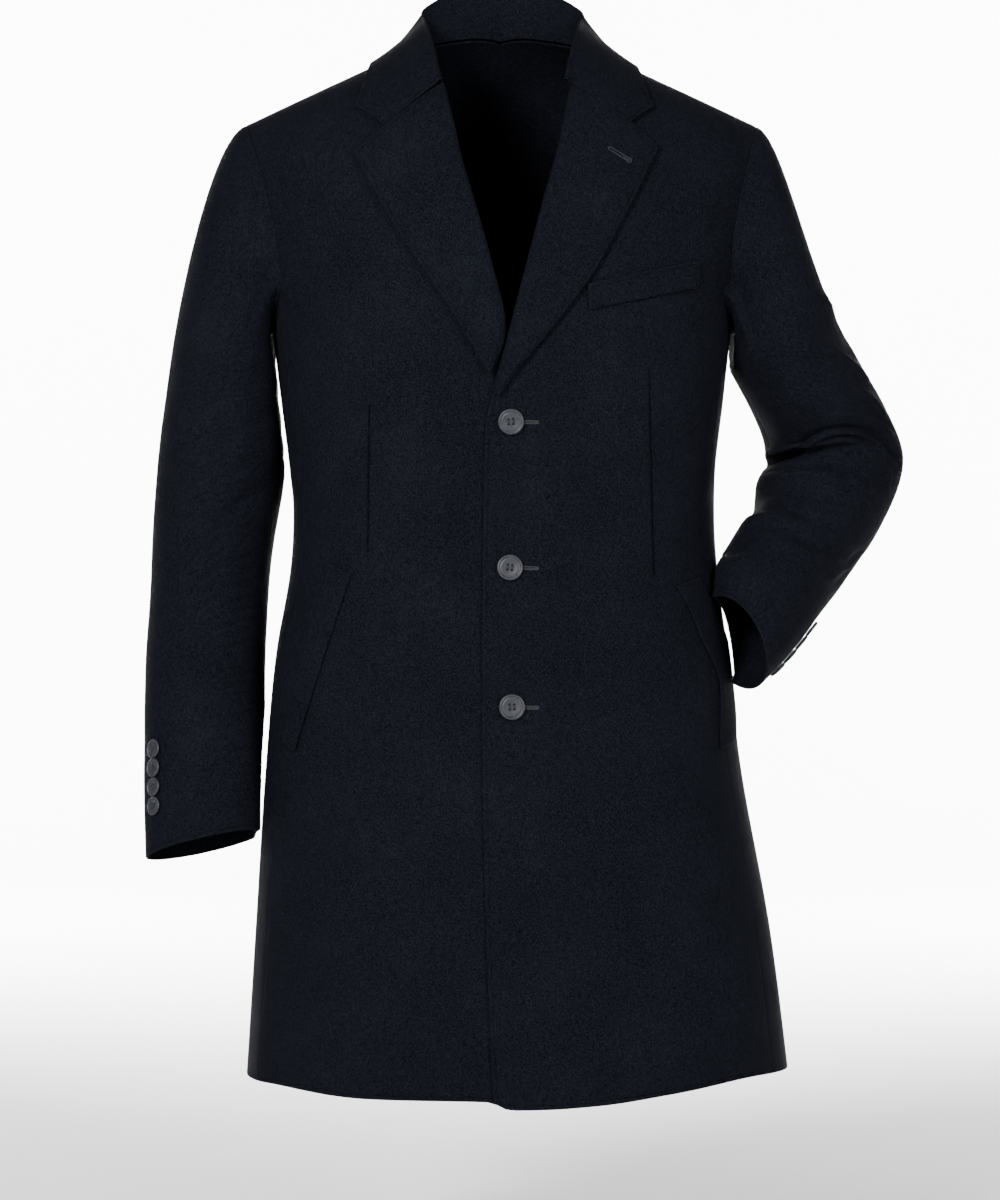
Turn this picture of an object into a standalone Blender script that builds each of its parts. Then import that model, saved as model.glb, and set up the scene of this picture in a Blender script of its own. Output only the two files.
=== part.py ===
"""Single-breasted wool overcoat with notch lapels, in the form that it has when worn.

Metres, +Z up, -Y the front, +X the wearer's left. The origin is in the neck, level with the
back neck, where the coat hangs on its wearer. Each cut piece is a closed wall of its own. The
body is one smooth surface, a ring of sections that closes over the shoulders, and the pieces
are patches of it.
"""

import math

import bmesh
import bpy
import numpy as np
from mathutils import Vector

WALL = 0.0024
SEAM_GAP = 0.0003
CLOTH = (0.006, 0.008, 0.016, 1.0)
BUTTON = (0.035, 0.042, 0.055, 1.0)

# Body sections, from below the hem to the underarm line: height, half-widths on the wearer's
# right and left, and how far the front and the back stand from the side axis.
BODY_COLUMNS = ("z", "right", "left", "front", "back")
BODY_SECTIONS = (
    (-1.010, 0.2350, 0.2690, 0.156, 0.146),
    (-0.960, 0.2315, 0.2635, 0.155, 0.145),
    (-0.830, 0.2235, 0.2470, 0.151, 0.141),
    (-0.680, 0.2140, 0.2200, 0.148, 0.136),
    (-0.580, 0.2050, 0.2085, 0.145, 0.130),
    (-0.500, 0.1915, 0.1985, 0.139, 0.115),
    (-0.450, 0.1890, 0.1960, 0.135, 0.104),
    (-0.410, 0.1925, 0.1970, 0.135, 0.101),
    (-0.350, 0.2000, 0.2040, 0.139, 0.108),
    (-0.285, 0.2080, 0.2110, 0.142, 0.118),
)
UNDERARM_Z = -0.285
SIDE_AXIS_Y = 0.005
SECTION_POWER = 2.4
SHOULDER_HALF = 0.2680
RIDGE_TOP_Z = 0.0139
RIDGE_ROUND = 0.030
RIDGE_SLOPE = 0.4685
SHOULDER_POWER = 1.5
ARCH_POWER = 2.2
RIDGE_LEVEL = 1.999
NORMAL_LEVEL = 1.985
NORMAL_STEP = 0.01
NORMAL_TURN = 0.5

# Hem height against the angle round the body, from the centre front over the left side.
HEM_ANGLES = (-180, -90, -60, -30, -1, 1, 15, 30, 60, 90, 180)
HEM_HEIGHTS = (
    -0.962, -0.962, -0.9625, -0.9695, -0.971, -0.978, -0.975, -0.967, -0.955, -0.956, -0.962
)

# Armhole seam on the front and the back: height, and distance from the centre on each side.
ARMHOLE_COLUMNS = ("z", "right", "left")
ARMHOLE_FRONT = (
    (-0.268, 0.1955, 0.2040),
    (-0.250, 0.1925, 0.2050),
    (-0.208, 0.2000, 0.2095),
    (-0.171, 0.2080, 0.2155),
    (-0.133, 0.2180, 0.2240),
    (-0.110, 0.2265, 0.2300),
)
ARMHOLE_BACK = (
    (-0.238, 0.2010, 0.2050),
    (-0.215, 0.2020, 0.2060),
    (-0.180, 0.2060, 0.2105),
    (-0.140, 0.2160, 0.2200),
    (-0.112, 0.2250, 0.2280),
)
SHOULDER_POINT = {"right": 0.2335, "left": 0.2352}
SIDE_SEAM_FRONT = 0.932
SIDE_SEAM_BACK = 0.900

# Front edges and roll lines: height against x, from the hem to the side of the neck.
EDGE_LEFT = (
    (-0.980, -0.0050),
    (-0.830, -0.0115),
    (-0.620, -0.0155),
    (-0.450, -0.0145),
    (-0.372, -0.0120),
    (-0.350, -0.0075),
)
ROLL_LEFT = (
    (-0.339, -0.0026),
    (-0.310, 0.0060),
    (-0.234, 0.0262),
    (-0.172, 0.0424),
    (-0.128, 0.0545),
    (-0.093, 0.0612),
    (-0.068, 0.0660),
)
EDGE_RIGHT = (
    (-0.980, 0.0340),
    (-0.420, 0.0340),
    (-0.372, 0.0310),
)
ROLL_RIGHT = (
    (-0.345, 0.0200),
    (-0.310, 0.0053),
    (-0.235, -0.0094),
    (-0.169, -0.0277),
    (-0.142, -0.0357),
    (-0.102, -0.0446),
    (-0.070, -0.0518),
)
NECK_SIDE = 0.081
NECK_BACK_Z = -0.014
BACK_NECK_MIDDLE = 0.050
LAP_LIFT = 0.0030
LAP_FULL_X = 0.040
LAP_END_X = 0.085
LAP_FULL_Z = -0.305
LAP_END_Z = -0.240
LAP_START_X = -0.030
VENT_TOP_Z = -0.640
VENT_UNDERLAP = 0.036
VENT_EASE = 0.05
VENT_LIFT_END_Z = -0.580
VENT_LIFT_FULL_X = 0.042
VENT_LIFT_END_X = 0.080

LOWER_ROWS = 19
ARCH_ROWS = 11
FRONT_COLUMNS = 11
BACK_COLUMNS = 8
SIDE_COLUMNS = 4
UNDERARM_POWER = 2.2


class Curve:
    """A smooth curve through a table's points, with no overshoot between them."""

    def __init__(self, places, values):
        self.places = np.asarray(places, float)
        self.values = np.asarray(values, float)
        steps = np.diff(self.places)
        secants = np.diff(self.values) / steps
        slopes = np.concatenate([secants[:1], (secants[:-1] + secants[1:]) / 2, secants[-1:]])
        for i in range(1, len(secants)):
            if secants[i - 1] * secants[i] <= 0:
                slopes[i] = 0.0
            else:
                least = min(abs(secants[i - 1]), abs(secants[i]))
                slopes[i] = math.copysign(min(abs(slopes[i]), 3 * least), slopes[i])
        self.slopes = slopes

    def __call__(self, place):
        place = min(max(place, self.places[0]), self.places[-1])
        i = min(int(np.searchsorted(self.places, place, "right")) - 1, len(self.places) - 2)
        step = self.places[i + 1] - self.places[i]
        t = (place - self.places[i]) / step
        low = (1 + 2 * t) * (1 - t) ** 2 * self.values[i] + t * (1 - t) ** 2 * step * self.slopes[i]
        high = t * t * (3 - 2 * t) * self.values[i + 1] - t * t * (1 - t) * step * self.slopes[i + 1]
        return low + high


def table_curves(columns, rows):
    """One curve for each column of a table after its first, against the first."""
    data = list(zip(*rows))
    return {name: Curve(data[0], data[k]) for k, name in enumerate(columns) if k}


def blend(value, start, end):
    """0 before start, 1 after end, and a smooth step between them."""
    t = min(max((value - start) / (end - start), 0.0), 1.0)
    return t * t * (3 - 2 * t)


BODY = table_curves(BODY_COLUMNS, BODY_SECTIONS)
HEM = Curve(HEM_ANGLES, HEM_HEIGHTS)


def ridge_z(x):
    """The height of the shoulder line, which falls from the neck to the sleeve head."""
    return RIDGE_TOP_Z - RIDGE_SLOPE * math.hypot(x, RIDGE_ROUND)


def arch(level):
    """The share of the arch's rise at a level past 1, and what is left of the body's depth."""
    rise = math.radians(90 * min(max(level - 1, 0.0), 1.0))
    return math.sin(rise) ** (2 / ARCH_POWER), max(math.cos(rise), 0.0) ** (2 / ARCH_POWER)


def half_width(side, level):
    """The half-width at a level, which grows from the underarm to the shoulder points."""
    if level <= 1:
        return BODY[side](HEM_HEIGHTS[0] + (UNDERARM_Z - HEM_HEIGHTS[0]) * level)
    low = BODY[side](UNDERARM_Z)
    return low + (SHOULDER_HALF - low) * arch(level)[0] ** SHOULDER_POWER


def body_place(angle, level):
    """A point of the body's surface. The angle is in degrees from the centre front, positive to
    the wearer's left. The level is 0 at the hem, 1 at the underarm line and 2 on the shoulders."""
    angle = (angle + 180) % 360 - 180
    side = "left" if angle >= 0 else "right"
    turn = math.radians(abs(angle))
    across = abs(math.sin(turn)) ** (2 / SECTION_POWER)
    along = abs(math.cos(turn)) ** (2 / SECTION_POWER)
    depth = "front" if abs(angle) < 90 else "back"
    forward = -1 if depth == "front" else 1
    if level <= 1:
        z = HEM(angle) + (UNDERARM_Z - HEM(angle)) * level
        x = BODY[side](z) * across
        reach = BODY[depth](z) * along
    else:
        share, shrink = arch(level)
        x = half_width(side, level) * across
        z = UNDERARM_Z + (ridge_z(x) - UNDERARM_Z) * share
        reach = BODY[depth](UNDERARM_Z) * along * shrink
    return np.array([math.copysign(x, angle), SIDE_AXIS_Y + forward * reach, z])


def level_of(x, z):
    """The level of the surface point that has this x and this height."""
    if z <= UNDERARM_Z:
        return (z - HEM_HEIGHTS[0]) / (UNDERARM_Z - HEM_HEIGHTS[0])
    share = min((z - UNDERARM_Z) / (ridge_z(x) - UNDERARM_Z), 1.0)
    return 1 + math.degrees(math.asin(share ** (ARCH_POWER / 2))) / 90


def angle_of(x, level, front=True):
    """The angle of the surface point that has this x at a level."""
    share = min(abs(x) / half_width("left" if x >= 0 else "right", level), 1.0)
    turn = math.degrees(math.asin(share ** (SECTION_POWER / 2)))
    return math.copysign(turn if front else 180 - turn, x)


def body_normal(angle, level):
    """The outward unit normal of the body's surface."""
    middle = min(level, NORMAL_LEVEL)
    low, high = max(middle - NORMAL_STEP, 0.0), middle + NORMAL_STEP
    across = body_place(angle + NORMAL_TURN, middle) - body_place(angle - NORMAL_TURN, middle)
    up = body_place(angle, high) - body_place(angle, low)
    normal = np.cross(across, up)
    if level > RIDGE_LEVEL:
        normal[1] = 0.0
    return normal / np.linalg.norm(normal)


def front_angle_level(x, z):
    """The angle and level of the front point with this x and height."""
    level = level_of(x, z)
    angle = angle_of(x, level)
    if z <= UNDERARM_Z:
        level = (z - HEM(angle)) / (UNDERARM_Z - HEM(angle))
        share = min(abs(x) / BODY["left" if x >= 0 else "right"](z), 1.0)
        angle = math.copysign(math.degrees(math.asin(share ** (SECTION_POWER / 2))), x)
    return angle, level


def lap_lift(x, z):
    """How far the upper front stands off the lower one where they lap."""
    return LAP_LIFT * (1 - blend(x, LAP_FULL_X, LAP_END_X)) * (1 - blend(z, LAP_FULL_Z, LAP_END_Z))


def front_place(x, z, out=0.0):
    """The front point with this x and height, moved out along the surface's normal."""
    angle, level = front_angle_level(x, z)
    normal = body_normal(angle, level)
    place = body_place(angle, level)
    if x > LAP_START_X:
        out += lap_lift(x, z)
    return place + normal * out, normal


def lower_rows(count):
    """The levels of the rows from the hem to the underarm line."""
    return [row / count for row in range(count + 1)]


LEVELS = lower_rows(LOWER_ROWS) + [1 + (row + 1) / ARCH_ROWS for row in range(ARCH_ROWS)]
JUNCTION_ROW = LOWER_ROWS + 1


def level_curve(rows, start=None, end=None):
    """A boundary's x against the level, from a table of height and x."""
    points = [(level_of(x, z), x) for z, x in rows]
    points = ([start] if start else []) + points + ([end] if end else [])
    return Curve(*zip(*points))


def seam_x(side, front):
    """The x of the side or back seam, and above it of the armhole, against the level."""
    sign = 1 if side == "left" else -1
    share = SIDE_SEAM_FRONT if front else SIDE_SEAM_BACK
    junction = LEVELS[JUNCTION_ROW]
    column = ARMHOLE_COLUMNS.index(side)
    rows = ARMHOLE_FRONT[1:] if front else ARMHOLE_BACK[1:]
    points = [(junction, share * half_width(side, junction))]
    points += [(level_of(row[column], row[0]), row[column]) for row in rows]
    points += [(2.0, SHOULDER_POINT[side])]
    armhole = Curve(*zip(*points))

    def x_at(level):
        return sign * (share * half_width(side, level) if level <= junction else armhole(level))

    return x_at


def shade(name, colour, roughness):
    """A plain material with this colour."""
    material = bpy.data.materials.new(name)
    material.use_nodes = True
    shader = material.node_tree.nodes["Principled BSDF"]
    shader.inputs["Base Color"].default_value = colour
    shader.inputs["Roughness"].default_value = roughness
    shader.inputs["Metallic"].default_value = 0.0
    return material


def add_mesh(name, form, colour=CLOTH, roughness=0.95):
    """Makes an object of a bmesh, with its faces outward and its own material."""
    bmesh.ops.recalc_face_normals(form, faces=form.faces)
    if form.calc_volume(signed=True) < 0:
        bmesh.ops.reverse_faces(form, faces=form.faces)
    mesh = bpy.data.meshes.new(name)
    form.to_mesh(mesh)
    form.free()
    mesh.shade_smooth()
    mesh.set_sharp_from_angle(angle=math.radians(40))
    mesh.materials.append(shade(name, colour, roughness))
    part = bpy.data.objects.new(name, mesh)
    bpy.context.scene.collection.objects.link(part)
    return part


def add_wall(name, outer, inner):
    """Makes a wall of two grids of points, by extruding a plain grid and placing its corners."""
    rows, columns = outer.shape[0] - 1, outer.shape[1] - 1
    form = bmesh.new()
    bmesh.ops.create_grid(form, x_segments=columns, y_segments=rows, size=1)
    first = list(form.verts)
    grown = bmesh.ops.extrude_face_region(form, geom=list(form.faces), use_keep_orig=True)["geom"]
    second = [item for item in grown if isinstance(item, bmesh.types.BMVert)]
    for corners, places in ((first, outer), (second, inner)):
        for corner in corners:
            column = round((corner.co.x + 1) / 2 * columns)
            row = round((corner.co.y + 1) / 2 * rows)
            corner.co = places[row, column]
    return add_mesh(name, form)


def inset(outer, inner, rows=(True, True), columns=(True, True), gap=SEAM_GAP):
    """Draws the edges that meet a neighbour back by half a seam's gap, along the cloth."""
    for axis, edges in ((0, rows), (1, columns)):
        for end, step, wanted in ((0, 1, edges[0]), (-1, -2, edges[1])):
            if not wanted:
                continue
            edge = (slice(None), end) if axis else (end,)
            inside = (slice(None), step) if axis else (step,)
            way = outer[inside] - outer[edge]
            way /= np.maximum(np.linalg.norm(way, axis=-1, keepdims=True), 1e-9)
            outer[edge] += way * gap / 2
            inner[edge] += way * gap / 2


def body_patch(levels, angles_at, columns, lift=None):
    """The outer and inner points of a body piece, from its two edges' angles at each level."""
    outer = np.zeros((len(levels), columns + 1, 3))
    inner = outer.copy()
    for row, level in enumerate(levels):
        first, last = angles_at(level)
        for column in range(columns + 1):
            angle = first + (last - first) * column / columns
            place, normal = body_place(angle, level), body_normal(angle, level)
            place = place + normal * (lift(place) if lift else 0.0)
            outer[row, column] = place
            inner[row, column] = place - normal * WALL
    return outer, inner


def front_edge(side):
    """A front's edge, roll line and neck, as x against the level."""
    if side == "left":
        return level_curve(EDGE_LEFT + ROLL_LEFT, end=(2.0, NECK_SIDE))
    return level_curve(EDGE_RIGHT + ROLL_RIGHT, end=(2.0, -NECK_SIDE))


def back_neck():
    """The back's neck edge, as its distance from the centre against the level."""
    low = level_of(0.0, NECK_BACK_Z)
    return Curve((low, (low + 2) / 2, 2.0), (0.0, BACK_NECK_MIDDLE, NECK_SIDE))


def front_panel(side):
    """A front, from its edge and roll line to the side seam and the armhole."""
    left = side == "left"
    edge = front_edge(side)
    seam = seam_x(side, True)

    def angles_at(level):
        return angle_of(edge(level), level), angle_of(seam(level), level)

    lift = (lambda place: lap_lift(place[0], place[2])) if left else None
    outer, inner = body_patch(LEVELS, angles_at, FRONT_COLUMNS, lift)
    inset(outer, inner, rows=(False, True), columns=(False, True))
    add_wall(f"front_{side}", outer, inner)


def back_panel(side):
    """A back, from the centre seam and its vent to the side seam, armhole and shoulder."""
    sign = 1 if side == "left" else -1
    neck_level = level_of(0.0, NECK_BACK_Z)
    neck = back_neck()
    vent_level = level_of(0.0, VENT_TOP_Z)
    seam = seam_x(side, False)

    def centre(level):
        if side == "right":
            return VENT_UNDERLAP * (1 - blend(level, vent_level - VENT_EASE, vent_level))
        return 0.0

    def angles_at(level):
        if level > neck_level:
            first = angle_of(sign * max(neck(level), 1e-6), level, front=False)
        else:
            first = angle_of(centre(level) + 1e-9 * sign, level, front=False)
        if side == "right" and first > 0:
            first -= 360
        return first, angle_of(seam(level), level, front=False)

    def lift(place):
        """The left back stands off the vent's underlap."""
        down = 1 - blend(place[2], VENT_TOP_Z, VENT_LIFT_END_Z)
        return LAP_LIFT * down * (1 - blend(place[0], VENT_LIFT_FULL_X, VENT_LIFT_END_X))

    outer, inner = body_patch(LEVELS, angles_at, BACK_COLUMNS, lift if side == "left" else None)
    inset(outer, inner, rows=(False, True))
    add_wall(f"back_{side}", outer, inner)


def side_levels(side):
    """The side body's columns: each one's angle at the top and the level where it ends."""
    junction = LEVELS[JUNCTION_ROW]
    ends = []
    for column in range(SIDE_COLUMNS + 1):
        across = abs(2 * column / SIDE_COLUMNS - 1)
        ends.append(1 + (junction - 1) * across**UNDERARM_POWER)
    return ends


def side_panel(side):
    """A side body, from the front seam to the back seam and up to the armhole."""
    front, back = seam_x(side, True), seam_x(side, False)
    tops = side_levels(side)
    rows = LEVELS[: JUNCTION_ROW + 1]
    outer = np.zeros((len(rows), SIDE_COLUMNS + 1, 3))
    inner = outer.copy()
    for row, seam_level in enumerate(rows):
        first = angle_of(front(seam_level), seam_level)
        last = angle_of(back(seam_level), seam_level, front=False)
        for column in range(SIDE_COLUMNS + 1):
            angle = first + (last - first) * column / SIDE_COLUMNS
            level = seam_level * tops[column] / rows[-1]
            outer[row, column] = body_place(angle, level)
            inner[row, column] = outer[row, column] - body_normal(angle, level) * WALL
    inset(outer, inner, rows=(False, True))
    add_wall(f"side_{side}", outer, inner)


# Sleeve rings, from the biceps to the cuff: centre, the way the ring faces, and its half-sizes
# towards the front and towards the outer side. The first sleeve hangs, the second is bent.
SLEEVE_COLUMNS = ("x", "y", "z", "face_x", "face_y", "face_z", "front", "outer")
SLEEVE_RINGS = {
    "right": (
        (-0.2500, -0.004, -0.330, -0.17, 0.00, -0.98, 0.0700, 0.0530),
        (-0.2553, 0.004, -0.410, -0.10, 0.00, -0.99, 0.0660, 0.0585),
        (-0.2649, 0.008, -0.493, -0.05, -0.03, -1.00, 0.0640, 0.0554),
        (-0.2681, 0.006, -0.543, -0.02, -0.10, -1.00, 0.0610, 0.0549),
        (-0.2699, 0.000, -0.604, 0.00, -0.15, -1.00, 0.0570, 0.0549),
        (-0.2694, -0.010, -0.660, 0.02, -0.18, -1.00, 0.0520, 0.0558),
        (-0.2678, -0.035, -0.752, 0.22, -0.21, -0.95, 0.0440, 0.0546),
    ),
    "left": (
        (0.2620, 0.012, -0.300, 0.38, 0.12, -0.92, 0.0680, 0.0545),
        (0.2830, 0.032, -0.335, 0.38, 0.25, -0.90, 0.0650, 0.0550),
        (0.3020, 0.055, -0.370, 0.30, 0.20, -0.93, 0.0640, 0.0590),
        (0.3105, 0.069, -0.400, 0.00, -0.15, -1.00, 0.0640, 0.0655),
        (0.2970, 0.052, -0.441, -0.33, -0.42, -0.84, 0.0600, 0.0600),
        (0.2746, 0.020, -0.481, -0.42, -0.50, -0.76, 0.0560, 0.0535),
        (0.2400, -0.030, -0.523, -0.45, -0.52, -0.72, 0.0510, 0.0526),
        (0.2103, -0.065, -0.5682, -0.77, -0.525, -0.36, 0.0447, 0.0455),
    ),
}
CAP_ROWS = 7
SLEEVE_ROWS = {"right": 12, "left": 18}
SLEEVE_CLEAR = 0.0050
CLEAR_ABOVE = 0.028
CLEAR_EASE = 0.020
# How the cap leaves the armhole and meets the upper arm: shares of the way that the body's cloth
# takes and of straight outward, then the reach of each end, high up and under the arm.
CAP_ALONG = (0.45, 0.55)
CAP_OUTWARD = (0.75, -0.25)
CAP_REACH_HIGH = 0.38
CAP_REACH_LOW = 0.45
CAP_LOW_FROM = -0.5
CAP_END_REACH = 1.1
CAP_END_STEP = 0.04
FOREARM_SEAM = -82
HINDARM_SEAM = -172
SEAM_TWISTS = {"right": (-60, -110), "left": (-40, -80)}

# Large folds of the sleeves: row, angle round the ring, half-length in rows and half-angle,
# and how far the cloth stands out or, below zero, sinks in.
FOLD_COLUMNS = ("row", "angle", "rows", "angles", "out")
SLEEVE_FOLDS = {
    "left": (
        (13.5, -60, 0.8, 75, -0.0078),
        (15.8, -60, 0.8, 80, 0.0040),
        (17.2, -55, 0.7, 75, -0.0060),
        (19.3, -50, 0.8, 65, 0.0050),
        (21.2, -50, 0.7, 60, -0.0060),
        (11.0, -40, 0.9, 60, -0.0040),
    ),
    "right": (
        (10.5, -40, 1.0, 70, -0.0030),
        (12.5, 60, 1.2, 60, -0.0025),
    ),
}


def unit(vector):
    """The vector at length one."""
    return vector / np.linalg.norm(vector)


def armhole_loop(side):
    """The armhole's corners from the shoulder point down the front and up the back: each one's
    place, the body's normal there, and the way the cloth leaves the body."""
    front, back = seam_x(side, True), seam_x(side, False)
    tops = side_levels(side)
    high = range(len(LEVELS) - 1, JUNCTION_ROW - 1, -1)
    loop = []
    for row in high:
        level = LEVELS[row]
        angle = angle_of(front(level), level)
        loop.append((angle, level, -4 if side == "left" else 4, 0))
    first = angle_of(front(LEVELS[JUNCTION_ROW]), LEVELS[JUNCTION_ROW])
    last = angle_of(back(LEVELS[JUNCTION_ROW]), LEVELS[JUNCTION_ROW], front=False)
    for column in range(1, SIDE_COLUMNS):
        loop.append((first + (last - first) * column / SIDE_COLUMNS, tops[column], 0, -0.05))
    for row in list(high)[::-1][:-1]:
        level = LEVELS[row]
        angle = angle_of(back(level), level, front=False)
        loop.append((angle, level, 4 if side == "left" else -4, 0))
    corners = []
    for angle, level, aside, below in loop:
        place = body_place(angle, level)
        inside = body_place(angle + aside, level + below)
        corners.append((place, body_normal(angle, level), unit(place - inside)))
    return corners


def body_x(y, z, side):
    """The half-width of the body under this height, or 0 in front of and behind it."""
    depth = BODY["front" if y < SIDE_AXIS_Y else "back"](z)
    share = abs(y - SIDE_AXIS_Y) / depth
    if share >= 1:
        return 0.0
    return BODY[side](z) * (1 - share**SECTION_POWER) ** (1 / SECTION_POWER)


def clear_of_body(place, side):
    """Moves a point of a sleeve outward until it is just clear of the body's side."""
    below = UNDERARM_Z + CLEAR_ABOVE - place[2]
    if below > 0:
        least = body_x(place[1], min(place[2], UNDERARM_Z), side)
        least += SLEEVE_CLEAR * blend(below, 0.0, CLEAR_EASE)
        if abs(place[0]) < least:
            place[0] = math.copysign(least, place[0])
    return place


class Sleeve:
    """A sleeve's tube of points, from the armhole's corners to the cuff."""

    def __init__(self, side):
        self.side = side
        self.sign = 1 if side == "left" else -1
        self.loop = armhole_loop(side)
        places = np.array([corner[0] for corner in self.loop])
        middle = (places.max(axis=0) + places.min(axis=0)) / 2
        half = (places.max(axis=0) - places.min(axis=0)) / 2
        turns = [
            math.degrees(math.atan2((p[2] - middle[2]) / half[2], -(p[1] - middle[1]) / half[1]))
            for p in places
        ]
        self.angles = [turn - 360 if turn > 100 else turn for turn in turns]
        rings = np.array(SLEEVE_RINGS[side])
        steps = np.linalg.norm(np.diff(rings[:, :3], axis=0), axis=1)
        along = np.concatenate([[0], np.cumsum(steps)])
        self.rings = [Curve(along / along[-1], rings[:, k]) for k in range(len(SLEEVE_COLUMNS))]

    def ring_point(self, along, angle, out=0.0):
        """A point of the tube below the cap, at a share of its length and an angle round it."""
        x, y, z, face_x, face_y, face_z, front, outer = (ring(along) for ring in self.rings)
        facing = unit(np.array([face_x, face_y, face_z]))
        forward = unit(np.array([0.0, -1.0, 0.0]) + facing * facing[1])
        outward = np.cross(forward, facing) * self.sign
        turn = math.radians(angle)
        ahead = forward * (front + out) * math.cos(turn)
        return np.array([x, y, z]) + ahead + outward * (outer + out) * math.sin(turn)

    def twist(self, angle, along):
        """How far a line of the cloth has turned round the arm by this share of its length."""
        fore, hind = SEAM_TWISTS[self.side]
        if angle > FOREARM_SEAM:
            share = (angle - FOREARM_SEAM) / (HINDARM_SEAM + 360 - FOREARM_SEAM)
        elif angle < HINDARM_SEAM:
            share = (angle + 360 - FOREARM_SEAM) / (HINDARM_SEAM + 360 - FOREARM_SEAM)
        else:
            share = (FOREARM_SEAM - angle) / (FOREARM_SEAM - HINDARM_SEAM)
        return (fore + (hind - fore) * share) * blend(along, 0.1, 1.0)

    def fold(self, row, angle):
        """How far the folds move the cloth out at this row and angle."""
        out = 0.0
        for values in SLEEVE_FOLDS[self.side]:
            fold = dict(zip(FOLD_COLUMNS, values))
            aside = ((angle - fold["angle"] + 180) % 360 - 180) / fold["angles"]
            if abs(aside) < 1:
                around = math.cos(math.radians(90 * aside)) ** 2
                out += fold["out"] * around * math.exp(-(((row - fold["row"]) / fold["rows"]) ** 2))
        return out

    def place(self, row, column):
        """The outer point of the tube at a row and one of the armhole's corners."""
        angle = self.angles[column]
        if row > CAP_ROWS:
            along = (row - CAP_ROWS) / SLEEVE_ROWS[self.side]
            turned = angle + self.twist(angle, along)
            point = self.ring_point(along, turned, self.fold(row, turned))
            return clear_of_body(point, self.side)
        start, _, leaving = self.loop[column]
        end = self.ring_point(0.0, angle)
        reach = np.linalg.norm(end - start)
        top = math.sin(math.radians(angle))
        out = np.array([self.sign, 0.0, 0.0])
        begin = leaving * (CAP_ALONG[0] + CAP_ALONG[1] * abs(top))
        begin = unit(begin + out * (CAP_OUTWARD[0] + CAP_OUTWARD[1] * abs(top)))
        begin *= reach * (CAP_REACH_HIGH if top > CAP_LOW_FROM else CAP_REACH_LOW)
        finish = unit(self.ring_point(CAP_END_STEP, angle) - end) * reach * CAP_END_REACH
        t = row / CAP_ROWS
        point = (1 + 2 * t) * (1 - t) ** 2 * start + t * (1 - t) ** 2 * begin
        point = point + t * t * (3 - 2 * t) * end - t * t * (1 - t) * finish
        return clear_of_body(point, self.side) if row else point

    def grids(self):
        """The outer and inner points of the whole tube, closed round it."""
        rows = CAP_ROWS + SLEEVE_ROWS[self.side]
        count = len(self.angles)
        outer = np.array([[self.place(row, col) for col in range(count)] for row in range(rows + 1)])
        ahead, behind = np.roll(outer, -1, axis=1), np.roll(outer, 1, axis=1)
        along = np.gradient(outer, axis=0)
        normals = np.cross(ahead - behind, along)
        normals /= np.linalg.norm(normals, axis=2, keepdims=True)
        centres = outer.mean(axis=1, keepdims=True)
        if (normals[3:] * (outer - centres)[3:]).sum() < 0:
            normals = -normals
        normals[0] = [corner[1] for corner in self.loop]
        inner = outer - normals * WALL
        leaving = np.array([corner[2] for corner in self.loop])
        outer[0] += leaving * 2 * SEAM_GAP
        inner[0] += leaving * 2 * SEAM_GAP
        return outer, inner

    def build(self):
        """Makes the top sleeve and the under sleeve."""
        outer, inner = self.grids()
        fore = min(range(len(self.angles)), key=lambda i: abs(self.angles[i] - FOREARM_SEAM))
        hind = min(range(len(self.angles)), key=lambda i: abs(self.angles[i] - HINDARM_SEAM))
        under = list(range(fore, hind + 1))
        top = list(range(hind, len(self.angles))) + list(range(fore + 1))
        for name, columns in (("sleeve_top", top), ("sleeve_under", under)):
            out, within = outer[:, columns].copy(), inner[:, columns].copy()
            inset(out, within, rows=(False, False), gap=2 * SEAM_GAP)
            add_wall(f"{name}_{self.side}", out, within)


# Lapels, from the lower tip to the gorge: a place on the roll line and one on the outer edge.
LAPEL_COLUMNS = ("roll_x", "roll_z", "edge_x", "edge_z")
LAPELS = {
    "right": (
        (-0.0070, -0.3270, -0.0100, -0.3300),
        (-0.0034, -0.3160, -0.0160, -0.3180),
        (0.0002, -0.3030, -0.0250, -0.3030),
        (0.0018, -0.2880, -0.0341, -0.2880),
        (-0.0094, -0.2350, -0.0651, -0.2400),
        (-0.0277, -0.1690, -0.0968, -0.1917),
        (-0.0357, -0.1420, -0.1072, -0.1720),
        (-0.0446, -0.1020, -0.1210, -0.1470),
        (-0.0518, -0.0710, -0.1294, -0.1328),
    ),
    "left": (
        (-0.0060, -0.3465, -0.0010, -0.3500),
        (-0.0026, -0.3390, 0.0130, -0.3300),
        (0.0060, -0.3100, 0.0380, -0.2990),
        (0.0262, -0.2340, 0.0790, -0.2450),
        (0.0424, -0.1720, 0.1092, -0.1900),
        (0.0545, -0.1280, 0.1255, -0.1580),
        (0.0612, -0.0930, 0.1345, -0.1390),
        (0.0660, -0.0690, 0.1401, -0.1274),
    ),
}
LAPEL_ROWS = 14
LAPEL_ROW_POWER = 1.15
LAPEL_FULL_WIDTH = 0.020
LAPEL_EDGE_OUT = 0.0032
LAPEL_ROLL_OUT = 0.0022
# The roll's section: how far the outer layer and then the inner one lie across from the roll
# line and out from the front.
ROLL_SECTION = (
    (-0.0033, -0.0010, -0.0009, -0.0010),
    (-0.0029, 0.0022, -0.0009, 0.0010),
    (0.0004, 0.0050, 0.0012, 0.0024),
)
LAPEL_SHARES = (0.14, 0.34, 0.56, 0.78, 1.0)


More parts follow.
